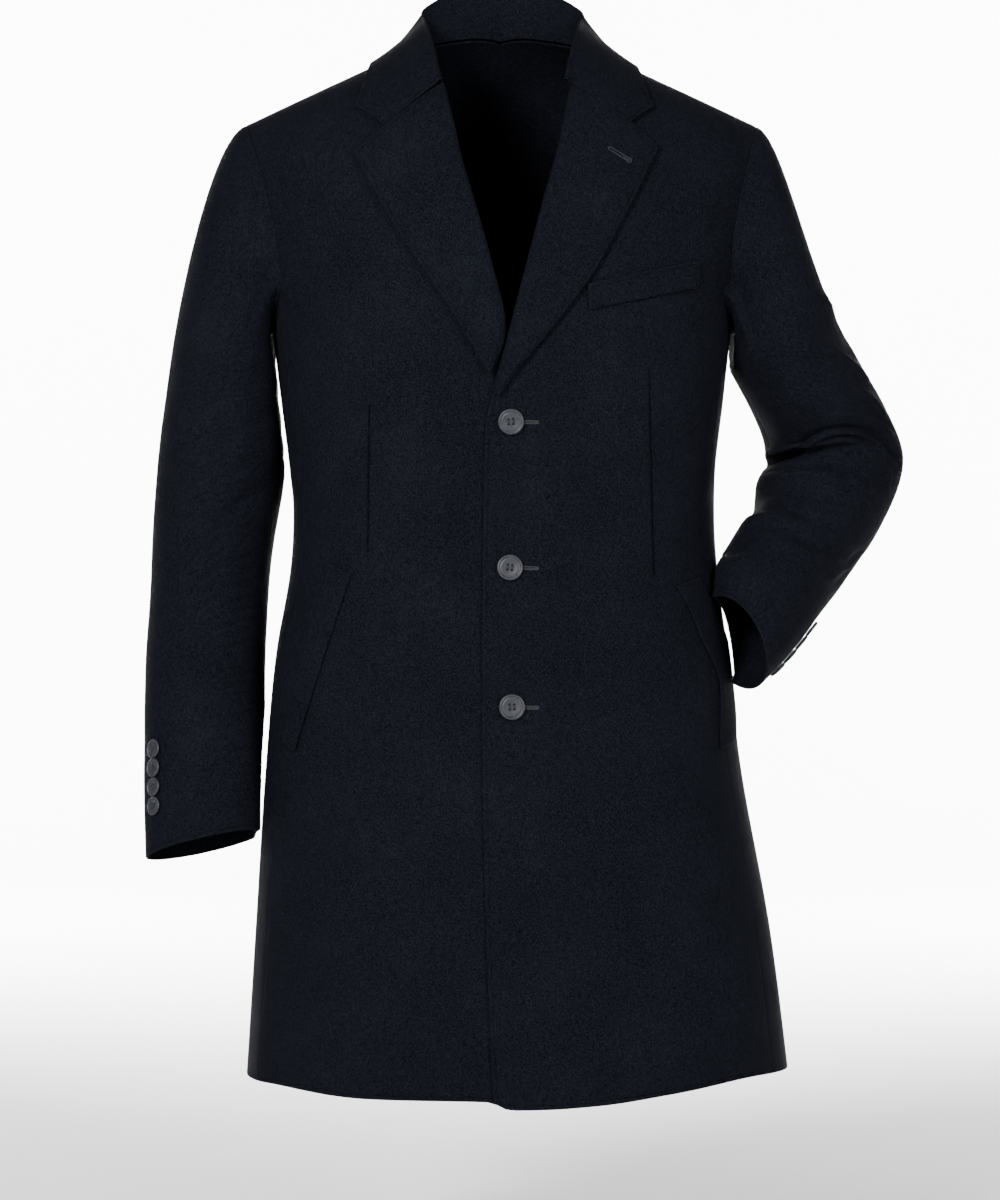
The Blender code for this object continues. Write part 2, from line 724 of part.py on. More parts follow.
def lapel(side):
    """A lapel, from its roll over the front's edge to its own outer edge."""
    rows = np.array(LAPELS[side])
    along = np.concatenate([[0], np.cumsum(np.hypot(np.diff(rows[:, 2]), np.diff(rows[:, 3])))])
    curves = [Curve(along / along[-1], rows[:, k]) for k in range(len(LAPEL_COLUMNS))]
    columns = len(ROLL_SECTION) + len(LAPEL_SHARES)
    outer = np.zeros((LAPEL_ROWS + 1, columns, 3))
    inner = outer.copy()
    for row in range(LAPEL_ROWS + 1):
        share = (row / LAPEL_ROWS) ** LAPEL_ROW_POWER
        roll_x, roll_z, edge_x, edge_z = (curve(share) for curve in curves)
        width = math.hypot(edge_x - roll_x, edge_z - roll_z)
        way_x, way_z = (edge_x - roll_x) / width, (edge_z - roll_z) / width
        scale = min(1.0, width / LAPEL_FULL_WIDTH)
        section = [(line[0] * scale, *line[1:]) for line in ROLL_SECTION]
        for across in LAPEL_SHARES:
            out = LAPEL_EDGE_OUT + LAPEL_ROLL_OUT * scale * math.sin(math.pi * across)
            section.append((across * width, out + WALL, across * width, out))
        for column, (outer_across, outer_out, inner_across, inner_out) in enumerate(section):
            x, z = roll_x + way_x * outer_across, roll_z + way_z * outer_across
            outer[row, column] = front_place(x, z, outer_out)[0]
            x, z = roll_x + way_x * inner_across, roll_z + way_z * inner_across
            inner[row, column] = front_place(x, z, inner_out)[0]
    add_wall(f"lapel_{side}", outer, inner)


# Collar, from the gorge to the centre back: the fold's x, its level (past 2 it is on the back)
# and height off the body, and the x and level of the outer edge.
COLLAR_COLUMNS = ("fold_x", "fold_level", "fold_out", "edge_x", "edge_level", "middle_pull")
COLLAR_RIGHT = (
    (0.0518, 1.566, 0.0050, 0.1287, 1.607, 1.0),
    (0.0550, 1.650, 0.0070, 0.1225, 1.680, 0.5),
    (0.0600, 1.830, 0.0110, 0.1175, 1.840, 0.1),
    (0.0610, 2.000, 0.0200, 0.1144, 2.000, 0.0),
    (0.0560, 2.070, 0.0330, 0.1040, 2.080, 0.0),
    (0.0330, 2.110, 0.0430, 0.0640, 2.180, 0.0),
    (0.0000, 2.120, 0.0455, 0.0000, 2.240, 0.0),
)
COLLAR_WIDER_LEFT = {"fold": 0.0045, "edge": 1.066}
# The collar's front end: x and height where the notch starts, and of the collar's point.
COLLAR_GORGE = {
    "right": (-0.1018, -0.1090, -0.1287, -0.0890),
    "left": (0.1143, -0.1060, 0.1377, -0.0890),
}
NOTCH_SHARE = 0.62
COLLAR_STATIONS = 13
COLLAR_EDGE_OUT = 0.0020
COLLAR_SHARES = (0.05, 0.25, 0.5, 0.75, 1.0)
STAND_SHARES = (1.0, 0.5, 0.12)
GORGE_GAP = 0.0011
GORGE_RUN = 0.45
COLLAR_FALL_POWER = 1.25
FOLD_RISE = 0.0008
FOLD_INWARD = 0.0004
STAND_OUT = 0.0014
NECK_MIDDLE = np.array([0.0, -0.01, 0.0])


def shell_place(x, level, out):
    """A point off the body at an x and a level, which runs past 2 down the back."""
    front = level <= 2
    level = level if front else 4 - level
    angle = angle_of(x, level, front)
    return body_place(angle, level) + body_normal(angle, level) * out, body_normal(angle, level)


def neck_seam(sign, share):
    """The neck seam from the gorge, at 0, to the centre back, at 1."""
    roll = (ROLL_LEFT if sign > 0 else ROLL_RIGHT)[-1]
    start = level_of(roll[1], roll[0])
    level = Curve((0.0, GORGE_RUN, 1.0), (start, 2.0, 4 - level_of(0.0, NECK_BACK_Z)))(share)
    if level <= 2:
        x = abs(front_edge("left" if sign > 0 else "right")(level))
    else:
        x = back_neck()(4 - level)
    return shell_place(sign * max(x, 1e-5), level, 0.0)


def collar_section(sign, share):
    """One section of the collar: the points of both layers, from the stand to the leaf's edge."""
    rows = np.array(COLLAR_RIGHT)
    places = np.linspace(0, 1, len(rows))
    fold_x, fold_level, fold_out, edge_x, edge_level, pull = (
        Curve(places, rows[:, k])(share) for k in range(len(COLLAR_COLUMNS))
    )
    if sign > 0:
        fold_x += COLLAR_WIDER_LEFT["fold"] * min(1, 3 * (1 - share))
        edge_x *= COLLAR_WIDER_LEFT["edge"]
    if share == 0:
        roll = (ROLL_LEFT if sign > 0 else ROLL_RIGHT)[-1]
        fold_x, fold_level = abs(roll[1]), level_of(roll[1], roll[0] + GORGE_GAP)
    fold, up = shell_place(sign * max(fold_x, 1e-5), fold_level, fold_out)
    seam, body_up = neck_seam(sign, share)
    inward = NECK_MIDDLE - seam
    inward[2] = 0
    inward = unit(inward)
    base = seam + body_up * STAND_OUT
    outer, inner = [], []
    for part in STAND_SHARES:
        place = fold + (base - fold) * part
        inner.append(place)
        outer.append(place + inward * WALL)
    inner.append(fold + up * FOLD_RISE)
    outer.append(fold + up * (FOLD_RISE + WALL) + inward * FOLD_INWARD)
    side = "left" if sign > 0 else "right"
    notch_x, notch_z, point_x, point_z = COLLAR_GORGE[side]
    notch_level, point_level = level_of(notch_x, notch_z), level_of(point_x, point_z)
    for part in COLLAR_SHARES:
        x = fold_x + (edge_x - fold_x) * part
        level = fold_level + (edge_level - fold_level) * part
        if pull > 0:
            stops = (0.0, NOTCH_SHARE, 1.0)
            line_x = np.interp(part, stops, (fold_x, abs(notch_x), abs(point_x)))
            line_level = np.interp(part, stops, (fold_level, notch_level, point_level))
            x += (line_x - x) * pull**2
            level += (line_level - level) * pull**2
        out = COLLAR_EDGE_OUT + (fold_out - COLLAR_EDGE_OUT) * (1 - part) ** COLLAR_FALL_POWER
        place, normal = shell_place(sign * max(x, 1e-5), level, out)
        inner.append(place)
        outer.append(place + normal * WALL)
    return outer, inner


def collar():
    """The collar, one folded piece from gorge to gorge round the back of the neck."""
    outer, inner = [], []
    for station in range(-COLLAR_STATIONS, COLLAR_STATIONS + 1):
        share = 1 - abs(station) / COLLAR_STATIONS
        out, within = collar_section(1 if station >= 0 else -1, share)
        outer.append(out)
        inner.append(within)
    add_wall("collar", np.array(outer), np.array(inner))


# Welts: rows along each one, with a place on its sewn edge and one on its free edge.
WELT_COLUMNS = ("seam_x", "seam_z", "edge_x", "edge_z")
WELTS = {
    "welt_chest": (
        (0.0788, -0.2742, 0.0770, -0.2512),
        (0.1766, -0.2512, 0.1761, -0.2273),
    ),
    "welt_right": (
        (-0.1316, -0.5076, -0.1530, -0.4960),
        (-0.1580, -0.5880, -0.1770, -0.5780),
        (-0.1823, -0.6650, -0.1970, -0.6570),
    ),
    "welt_left": (
        (0.1560, -0.5180, 0.1763, -0.5103),
        (0.1704, -0.5435, 0.1905, -0.5350),
        (0.1796, -0.5660, 0.2000, -0.5570),
        (0.1910, -0.5880, 0.2080, -0.5830),
        (0.1975, -0.6150, 0.2110, -0.6110),
        (0.1965, -0.6640, 0.2110, -0.6560),
    ),
}
WELT_ROWS = 8
WELT_ACROSS = 3
WELT_OUT = 0.0006
WELT_MOUTH_OUT = 0.0008
MOST_SHARE = 0.985


def welt(name):
    """A welt, which lies on a front along its sewn edge and stands off a little at its mouth."""
    rows = np.array(WELTS[name])
    places = np.linspace(0, 1, len(rows))
    curves = [Curve(places, rows[:, k]) for k in range(len(WELT_COLUMNS))]
    outer = np.zeros((WELT_ROWS + 1, WELT_ACROSS + 1, 3))
    inner = outer.copy()
    for row in range(WELT_ROWS + 1):
        seam_x, seam_z, edge_x, edge_z = (curve(row / WELT_ROWS) for curve in curves)
        for column in range(WELT_ACROSS + 1):
            share = column / WELT_ACROSS
            x, z = seam_x + (edge_x - seam_x) * share, seam_z + (edge_z - seam_z) * share
            most = MOST_SHARE * BODY["left" if x > 0 else "right"](min(z, UNDERARM_Z))
            x = math.copysign(min(abs(x), most), x)
            out = WELT_OUT + WELT_MOUTH_OUT * share
            inner[row, column] = front_place(x, z, out)[0]
            outer[row, column] = front_place(x, z, out + WALL)[0]
    add_wall(name, outer, inner)


FRONT_BUTTONS = ((0.0097, -0.3725), (0.0088, -0.5018), (0.0106, -0.6242))
FRONT_BUTTON_RADIUS = 0.0115
CUFF_BUTTON_RADIUS = 0.0086
CUFF_BUTTON_STEP = 0.0174
CUFF_BUTTON_ANGLES = {"right": 50, "left": 92}
CUFF_FIRST_BUTTONS = {"right": 0.0408, "left": 0.030}
CUFF_SHARES = (1.0, 0.4)
CUFF_STEPS = 400
BUTTON_OFF_CLOTH = 0.0006
# A button's turned profile: radius and height, as shares of its radius.
BUTTON_PROFILE = (
    (0.00, 0.00),
    (0.90, 0.00),
    (1.00, 0.09),
    (1.00, 0.22),
    (0.94, 0.28),
    (0.82, 0.28),
    (0.74, 0.21),
    (0.00, 0.18),
)


def button(name, place, normal, radius, steps):
    """A turned button that lies with its back at a place and faces along a normal."""
    form = bmesh.new()
    line = [form.verts.new((r * radius, 0, h * radius)) for r, h in BUTTON_PROFILE]
    edges = [form.edges.new(pair) for pair in zip(line, line[1:])]
    bmesh.ops.spin(
        form, geom=line + edges, cent=(0, 0, 0), axis=(0, 0, 1), angle=math.tau, steps=steps,
        use_merge=True,
    )
    bmesh.ops.remove_doubles(form, verts=form.verts, dist=1e-5)
    facing = Vector(normal).to_track_quat("Z", "Y")
    for vert in form.verts:
        vert.co = facing @ vert.co + Vector(place)
    add_mesh(name, form, BUTTON, 0.45)


def front_buttons():
    """The three front buttons, on the upper front."""
    for number, (x, z) in enumerate(FRONT_BUTTONS, 1):
        place, normal = front_place(x, z, BUTTON_OFF_CLOTH)
        button(f"button_front_{number}", place, normal, FRONT_BUTTON_RADIUS, 24)


def cuff_buttons(sleeve):
    """The four buttons of a cuff, in a row up the sleeve from the hem."""
    angle, first = CUFF_BUTTON_ANGLES[sleeve.side], CUFF_FIRST_BUTTONS[sleeve.side]
    shares = np.linspace(*CUFF_SHARES, CUFF_STEPS)
    line = np.array([sleeve.ring_point(share, angle) for share in shares])
    along = np.concatenate([[0], np.cumsum(np.linalg.norm(np.diff(line, axis=0), axis=1))])
    for number in range(1, 5):
        share = float(np.interp(first + CUFF_BUTTON_STEP * (4 - number), along, shares))
        around = sleeve.ring_point(share, angle + 4) - sleeve.ring_point(share, angle - 4)
        centre = sleeve.ring_point(share, angle)
        up = sleeve.ring_point(share - 0.03, angle) - centre
        normal = unit(np.cross(around, up))
        if normal @ (sleeve.ring_point(share, angle, 0.01) - centre) < 0:
            normal = -normal
        name = f"button_cuff_{sleeve.side}_{number}"
        button(name, centre + normal * BUTTON_OFF_CLOTH, normal, CUFF_BUTTON_RADIUS, 12)


def clear_scene():
    """Removes the objects that the scene starts with."""
    for thing in list(bpy.data.objects):
        bpy.data.objects.remove(thing, do_unlink=True)


def main():
    """Builds every piece of the coat."""
    clear_scene()
    for side in ("left", "right"):
        front_panel(side)
        side_panel(side)
        back_panel(side)
        lapel(side)
        sleeve = Sleeve(side)
        sleeve.build()
        cuff_buttons(sleeve)
    collar()
    front_buttons()
    for name in WELTS:
        welt(name)


main()
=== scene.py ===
"""Looks of the wool overcoat: finer shells over its solids, sewing, buttons, cloth and studio.

Metres, +Z up, -Y the front, +X the wearer's left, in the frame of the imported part. Every shell
follows the surface that its solid was made from, at a finer step, with soft creases added. Run
with Blender: it builds the scene, places the camera and leaves rendering to its caller.
"""

import logging
import math
from dataclasses import dataclass, field
from enum import Enum
from typing import Callable, Sequence

import bmesh
import bpy
import numpy as np
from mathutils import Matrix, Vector


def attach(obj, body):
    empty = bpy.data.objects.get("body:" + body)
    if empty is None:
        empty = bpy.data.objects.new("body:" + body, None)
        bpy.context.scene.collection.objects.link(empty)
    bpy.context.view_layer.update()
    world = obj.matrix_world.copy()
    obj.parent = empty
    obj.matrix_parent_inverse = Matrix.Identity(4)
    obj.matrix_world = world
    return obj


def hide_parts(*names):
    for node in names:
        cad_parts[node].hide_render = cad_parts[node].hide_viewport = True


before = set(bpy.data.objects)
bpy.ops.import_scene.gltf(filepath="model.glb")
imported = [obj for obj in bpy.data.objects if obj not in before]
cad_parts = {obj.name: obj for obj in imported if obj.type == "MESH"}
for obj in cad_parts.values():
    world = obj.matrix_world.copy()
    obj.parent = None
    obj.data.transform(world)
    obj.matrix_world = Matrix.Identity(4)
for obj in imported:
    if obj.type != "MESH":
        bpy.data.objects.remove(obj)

log = logging.getLogger("overcoat")
BODY = "root"
WALL = 0.0024
SEAM_GAP = 0.0003
SEAM_HOLD = 0.0004
TINY = 1e-9
ASKEW = (0.31, 0.17, 0.93)
SMOOTH = 180
FULL_TURN = 360
Grid = np.ndarray
Table = Sequence[Sequence[float]]


class Side(Enum):
    """A side of the wearer, with the sign of its x."""

    LEFT = 1
    RIGHT = -1


class Held(Enum):
    HUNG = "hung"
    FOLDED = "folded"
    LAID = "laid"


class Curve:
    """A smooth curve through a table's points, with no overshoot between them."""

    def __init__(self, places: Sequence[float], values: Sequence[float]) -> None:
        """Works out the slopes.

        Args:
            places: the points' places, rising.
            values: the value at each place.
        """
        self.places = np.asarray(places, float)
        self.values = np.asarray(values, float)
        secants = np.diff(self.values) / np.diff(self.places)
        slopes = np.concatenate([secants[:1], (secants[:-1] + secants[1:]) / 2, secants[-1:]])
        for i in range(1, len(secants)):
            if secants[i - 1] * secants[i] <= 0:
                slopes[i] = 0.0
            else:
                least = min(abs(secants[i - 1]), abs(secants[i]))
                slopes[i] = math.copysign(min(abs(slopes[i]), 3 * least), slopes[i])
        self.slopes = slopes

    def __call__(self, place: Grid | float) -> Grid:
        """Returns the value at each place, held at the ends."""
        place = np.clip(place, self.places[0], self.places[-1])
        i = np.clip(np.searchsorted(self.places, place, "right") - 1, 0, len(self.places) - 2)
        step = self.places[i + 1] - self.places[i]
        t = (place - self.places[i]) / step
        low = (1 + 2 * t) * (1 - t) ** 2 * self.values[i] + t * (1 - t) ** 2 * step * self.slopes[i]
        rise = t * t * (3 - 2 * t) * self.values[i + 1]
        return low + rise - t * t * (1 - t) * step * self.slopes[i + 1]


def columns_of(table: Table, places: Grid | None = None) -> list[Curve]:
    """Returns a table's columns as smooth curves.

    Args:
        table: its rows.
        places: each row's place, or none for even ones from 0 to 1.

    Returns:
        The curves, in the columns' order.
    """
    rows = np.array(table)
    places = np.linspace(0, 1, len(rows)) if places is None else places
    return [Curve(places, column) for column in rows.T]


def blend(value: Grid | float, start: float, end: float) -> Grid:
    """Returns 0 before start, 1 after end, and a smooth step between them."""
    t = np.clip((np.asarray(value, float) - start) / (end - start), 0.0, 1.0)
    return t * t * (3 - 2 * t)


def unit(vectors: Grid) -> Grid:
    """Returns vectors at length one."""
    return vectors / np.maximum(np.linalg.norm(vectors, axis=-1, keepdims=True), TINY)


def wrapped(angle: Grid) -> Grid:
    """Returns angles in degrees, between minus and plus half a turn."""
    return (np.asarray(angle, float) + FULL_TURN / 2) % FULL_TURN - FULL_TURN / 2


def run_along(points: Grid) -> Grid:
    """Returns each point's distance from the first, along the line through them."""
    return np.concatenate([[0], np.cumsum(np.linalg.norm(np.diff(points, axis=0), axis=1))])


@dataclass(frozen=True)
class Crease:
    """One soft trough or ridge.

    Attributes:
        along: where its middle lies, as a level of the body or a row of a sleeve.
        angle: where its middle lies round the body or the arm, in degrees.
        reach: half its length, in degrees round the surface.
        width: how wide it is along the surface, in levels or rows.
        out: how far the cloth stands out or, below zero, sinks in.
        slant: levels or rows that it moves along for each degree.
    """

    along: float
    angle: float
    reach: float
    width: float
    out: float
    slant: float = 0.0

    def depth(self, along: Grid, angle: Grid) -> Grid:
        """Returns how far this crease moves the cloth at each place."""
        aside = wrapped(angle - self.angle)
        round_it = np.cos(np.radians(90 * np.clip(aside / self.reach, -1, 1))) ** 2
        across = (along - self.along - self.slant * aside) / self.width
        return self.out * round_it * np.exp(-(across**2))


@dataclass(frozen=True)
class Fold:
    """One fold across a sleeve, through points given on its front or its back.

    Attributes:
        points: across, up, half width and how far the cloth stands out or sinks in, in millimetres.
        front: whether it lies on the front.
        steps: how many points its smooth line has.
        facing: how far the cloth has turned to its side where it begins, and where it is whole.
    """

    points: Table
    front: bool = True
    steps: int = 48
    facing: tuple[float, float] = (-0.10, 0.30)

    def depth(self, grid: Grid, normals: Grid) -> Grid:
        """Returns how far this fold moves the cloth at each place.

        Args:
            grid: the cloth's points.
            normals: its outward normals.

        Returns:
            The way out at each point.
        """
        share, in_metres = np.linspace(0, 1, self.steps), np.array(self.points) / 1000
        x, z, wide, out = (curve(share) for curve in columns_of(in_metres))
        gaps = np.hypot(grid[..., 0, None] - x, grid[..., 2, None] - z)
        near, gap = gaps.argmin(axis=-1), gaps.min(axis=-1)
        facing = blend(normals[..., 1] * (-1 if self.front else 1), *self.facing)
        return out[near] * np.exp(-((gap / wide[near]) ** 2)) * facing


@dataclass(frozen=True)
class Flute(Crease):
    """One soft upright fold: a crease that runs up the body, its reach and width swapped round."""

    def depth(self, along: Grid, angle: Grid) -> Grid:
        """Returns how far this fold moves the cloth at each place."""
        up = np.clip((along - self.along) / self.reach, -1, 1)
        aside = wrapped(angle - self.angle - self.slant * (along - self.along))
        return self.out * np.cos(np.radians(90 * up)) ** 2 * np.exp(-((aside / self.width) ** 2))


@dataclass(frozen=True)
class BodyForm:
    """The body's surface: sections that close over the shoulders, and what lies on it."""

    sections: Table = (
        (-1.010, 0.2350, 0.2690, 0.156, 0.146), (-0.960, 0.2315, 0.2635, 0.155, 0.145),
        (-0.830, 0.2235, 0.2470, 0.151, 0.141), (-0.680, 0.2140, 0.2200, 0.148, 0.136),
        (-0.580, 0.2050, 0.2085, 0.145, 0.130), (-0.500, 0.1915, 0.1985, 0.139, 0.115),
        (-0.450, 0.1890, 0.1960, 0.135, 0.104), (-0.410, 0.1925, 0.1970, 0.135, 0.101),
        (-0.350, 0.2000, 0.2040, 0.139, 0.108), (-0.285, 0.2080, 0.2110, 0.142, 0.118),
    )
    hem_angles: Sequence[float] = (-180, -90, -60, -30, -1, 1, 15, 30, 60, 90, 180)
    hem_heights: Sequence[float] = (
        -0.962, -0.962, -0.9625, -0.9695, -0.971, -0.978, -0.975, -0.967, -0.955, -0.956, -0.962
    )
    underarm: float = -0.285
    axis_y: float = 0.005
    power: float = 2.4
    shoulder_half: float = 0.2680
    shoulder_power: float = 1.5
    arch_power: float = 2.2
    ridge_top: float = 0.0139
    ridge_round: float = 0.030
    ridge_slope: float = 0.4685
    ridge_level: float = 1.999
    lap_lift: float = 0.0030
    lap_x: Sequence[float] = (0.040, 0.085)
    lap_z: Sequence[float] = (-0.305, -0.240)
    lap_start: float = -0.030
    top_level: float = 1.985
    look_turn: float = 0.5
    look_up: float = 0.01
    fading: Sequence[float] = (1.55, 1.85)
    creases: Sequence[Crease] = (
        Crease(1.02, 62, 26, 0.030, -0.0012, 0.004), Crease(1.02, -62, 26, 0.030, -0.0012, -0.004),
        Crease(0.76, 118, 30, 0.020, -0.0020, 0.0006), Crease(0.73, 124, 26, 0.016, 0.0014, 0.0009),
        Crease(0.70, 112, 24, 0.015, -0.0014, 0.0005), Crease(0.75, -120, 28, 0.020, -0.0019, -0.0007),
        Crease(0.71, -114, 30, 0.017, -0.0016, -0.0004), Crease(0.755, 72, 16, 0.016, -0.0010, 0.0012),
        Crease(0.745, -70, 16, 0.018, -0.0010, -0.0012), Crease(0.50, 40, 22, 0.022, -0.0006, 0.0016),
    )
    flutes: Sequence[Flute] = (
        Flute(0.02, 58, 0.30, 7, 0.0022, -6), Flute(0.00, 34, 0.22, 8, -0.0012, 4),
        Flute(0.00, -44, 0.26, 9, -0.0016, 5), Flute(0.05, -66, 0.34, 6, 0.0015, -4),
        Flute(0.02, 128, 0.40, 7, 0.0028, 3), Flute(0.00, 150, 0.36, 6, -0.0024, -4),
        Flute(0.02, -132, 0.42, 7, 0.0026, 5), Flute(0.00, -152, 0.33, 6, -0.0020, 3),
        Flute(1.30, 146, 0.42, 6, 0.0022, -9), Flute(1.26, -144, 0.40, 6, 0.0020, 9),
        Flute(1.35, 50, 0.30, 5, 0.0010, -8), Flute(1.35, -48, 0.30, 5, 0.0010, 8),
    )

    def column(self, index: int) -> Curve:
        """Returns one of the sections' columns as a curve against the height."""
        rows = np.array(self.sections)
        return Curve(rows[:, 0], rows[:, index])

    def half(self, x: Grid, z: Grid) -> Grid:
        """Returns the body's half-width at heights z, on the side where x lies."""
        return np.where(np.asarray(x) >= 0, self.column(2)(z), self.column(1)(z))

    def hem(self, angle: Grid) -> Grid:
        """Returns the hem's height at each angle."""
        return Curve(self.hem_angles, self.hem_heights)(angle)

    def ridge(self, x: Grid) -> Grid:
        """Returns the height of the shoulder line over x."""
        return self.ridge_top - self.ridge_slope * np.hypot(x, self.ridge_round)

    def arch(self, level: Grid) -> tuple[Grid, Grid]:
        """Returns the share of the arch's rise, and what is left of the body's depth."""
        rise = np.radians(90 * np.clip(np.asarray(level, float) - 1, 0, 1))
        share = np.sin(rise) ** (2 / self.arch_power)
        return share, np.maximum(np.cos(rise), 0) ** (2 / self.arch_power)

    def half_width(self, x: Grid, level: Grid) -> Grid:
        """Returns the half-width at a level, on the side where x lies."""
        level = np.asarray(level, float)
        first = self.hem_heights[0]
        low = self.half(x, first + (self.underarm - first) * np.minimum(level, 1))
        wide = low + (self.shoulder_half - low) * self.arch(level)[0] ** self.shoulder_power
        return np.where(level <= 1, low, wide)

    def bare(self, angle: Grid, level: Grid) -> Grid:
        """Returns points of the smooth surface, at angles from the centre front and levels."""
        angle, level = np.broadcast_arrays(np.asarray(angle, float), np.asarray(level, float))
        angle = wrapped(angle)
        turn = np.radians(np.abs(angle))
        across = np.abs(np.sin(turn)) ** (2 / self.power)
        along = np.abs(np.cos(turn)) ** (2 / self.power)
        front = np.abs(angle) < 90
        hem = self.hem(angle)
        z = hem + (self.underarm - hem) * np.minimum(level, 1)
        half = self.half(angle, z)
        reach = np.where(front, self.column(3)(z), self.column(4)(z)) * along
        share, shrink = self.arch(level)
        wide = half + (self.shoulder_half - half) * share**self.shoulder_power
        x = np.where(level <= 1, half, wide) * across
        z = np.where(level <= 1, z, self.underarm + (self.ridge(x) - self.underarm) * share)
        reach = np.where(level <= 1, reach, reach * shrink)
        y = self.axis_y + np.where(front, -1, 1) * reach
        return np.stack([np.copysign(x, angle), y, z], axis=-1)

    def normal(self, angle: Grid, level: Grid) -> Grid:
        """Returns the outward normals of the smooth surface."""
        angle, level = np.broadcast_arrays(np.asarray(angle, float), np.asarray(level, float))
        middle, turn, rise = np.minimum(level, self.top_level), self.look_turn, self.look_up
        across = self.bare(angle + turn, middle) - self.bare(angle - turn, middle)
        up = self.bare(angle, middle + rise) - self.bare(angle, np.maximum(middle - rise, 0))
        normal = np.cross(across, up)
        normal[..., 1] *= level <= self.ridge_level
        return unit(normal)

    def ease(self, angle: Grid, level: Grid) -> Grid:
        """Returns how far the creases move the cloth, fading out at the shoulders."""
        angle = wrapped(angle)
        out = sum(fold.depth(level, angle) for fold in (*self.creases, *self.flutes))
        return out * (1 - blend(level, *self.fading))

    def place(self, angle: Grid, level: Grid, out: Grid | float = 0.0) -> Grid:
        """Returns points at a distance out from the creased surface."""
        moved = np.asarray(out) + self.ease(angle, level)
        return self.bare(angle, level) + self.normal(angle, level) * moved[..., None]

    def level_of(self, x: Grid, z: Grid) -> Grid:
        """Returns the levels of the points with these x and heights."""
        x, z = np.asarray(x, float), np.asarray(z, float)
        first = self.hem_heights[0]
        low = (z - first) / (self.underarm - first)
        share = np.clip((z - self.underarm) / (self.ridge(x) - self.underarm), 0, 1)
        high = 1 + np.degrees(np.arcsin(share ** (self.arch_power / 2))) / 90
        return np.where(z <= self.underarm, low, high)

    def angle_of(self, x: Grid, level: Grid, front: bool = True) -> Grid:
        """Returns the angles of the points with these x at these levels."""
        share = np.minimum(np.abs(x) / self.half_width(x, level), 1)
        turn = np.degrees(np.arcsin(share ** (self.power / 2)))
        return np.copysign(turn if front else 180 - turn, x)

    def lap(self, x: Grid, z: Grid) -> Grid:
        """Returns how far the upper front stands off the lower one."""
        across = 1 - blend(x, *self.lap_x)
        return self.lap_lift * across * (1 - blend(z, *self.lap_z))

    def front(self, x: Grid, z: Grid, out: Grid | float = 0.0) -> tuple[Grid, Grid]:
        """Finds points of the front.

        Args:
            x: across, to the wearer's left.
            z: the heights.
            out: how far to move out from the cloth.

        Returns:
            The points and the normals there.
        """
        x, z, out = np.broadcast_arrays(*(np.asarray(v, float) for v in (x, z, out)))
        level = self.level_of(x, z)
        angle = self.angle_of(x, level)
        low = z <= self.underarm
        hem = self.hem(angle)
        level = np.where(low, (z - hem) / (self.underarm - hem), level)
        share = np.minimum(np.abs(x) / self.half(x, z), 1)
        flat = np.copysign(np.degrees(np.arcsin(share ** (self.power / 2))), x)
        angle = np.where(low, flat, angle)
        out = out + np.where(x > self.lap_start, self.lap(x, z), 0)
        return self.place(angle, level, out), self.normal(angle, level)


FORM = BodyForm()


def layers(outer: Grid, inner: Grid, rows: tuple[bool, bool], columns: tuple[bool, bool]) -> None:
    """Shapes the edges that meet a neighbour: parted outside, held together inside.

    Args:
        outer: the outer points, changed in place.
        inner: the inner points, changed in place.
        rows: whether the first and the last row meet a neighbour.
        columns: whether the first and the last column do.
    """
    for axis, edges in ((0, rows), (1, columns)):
        for end, step, wanted in ((0, 1, edges[0]), (-1, -2, edges[1])):
            if wanted:
                edge = (slice(None), end) if axis else (end,)
                inside = (slice(None), step) if axis else (step,)
                way = unit(outer[inside] - outer[edge])
                outer[edge] += way * SEAM_GAP / 2
                inner[edge] -= way * SEAM_HOLD


def share_of(steps: Grid, width: float) -> Grid:
    """Returns the share of each step that is this wide, two fifths at most."""
    reach = np.maximum(np.linalg.norm(steps, axis=-1, keepdims=True), TINY)
    return np.minimum(width / reach, 2 / 5)


def bordered(grid: Grid, width: float) -> Grid:
    """Adds a narrow row of cells along each edge, so that edges can be rounded.

    Args:
        grid: points in rows and columns.
        width: how wide the added cells are.

    Returns:
        The grid with two more rows and two more columns.
    """
    for _ in range(2):
        first, last = grid[0], grid[-1]
        starts = first + (grid[1] - first) * share_of(grid[1] - first, width)
        ends = last + (grid[-2] - last) * share_of(grid[-2] - last, width)
        grid = np.concatenate([first[None], starts[None], grid[1:-1], ends[None], last[None]])
        grid = np.swapaxes(grid, 0, 1)
    return grid


def lengths(grid: Grid) -> Grid:
    """Returns the distance of each point from the first row, along its column."""
    steps = np.linalg.norm(np.diff(grid, axis=0), axis=-1)
    return np.concatenate([np.zeros((1, grid.shape[1])), np.cumsum(steps, axis=0)])


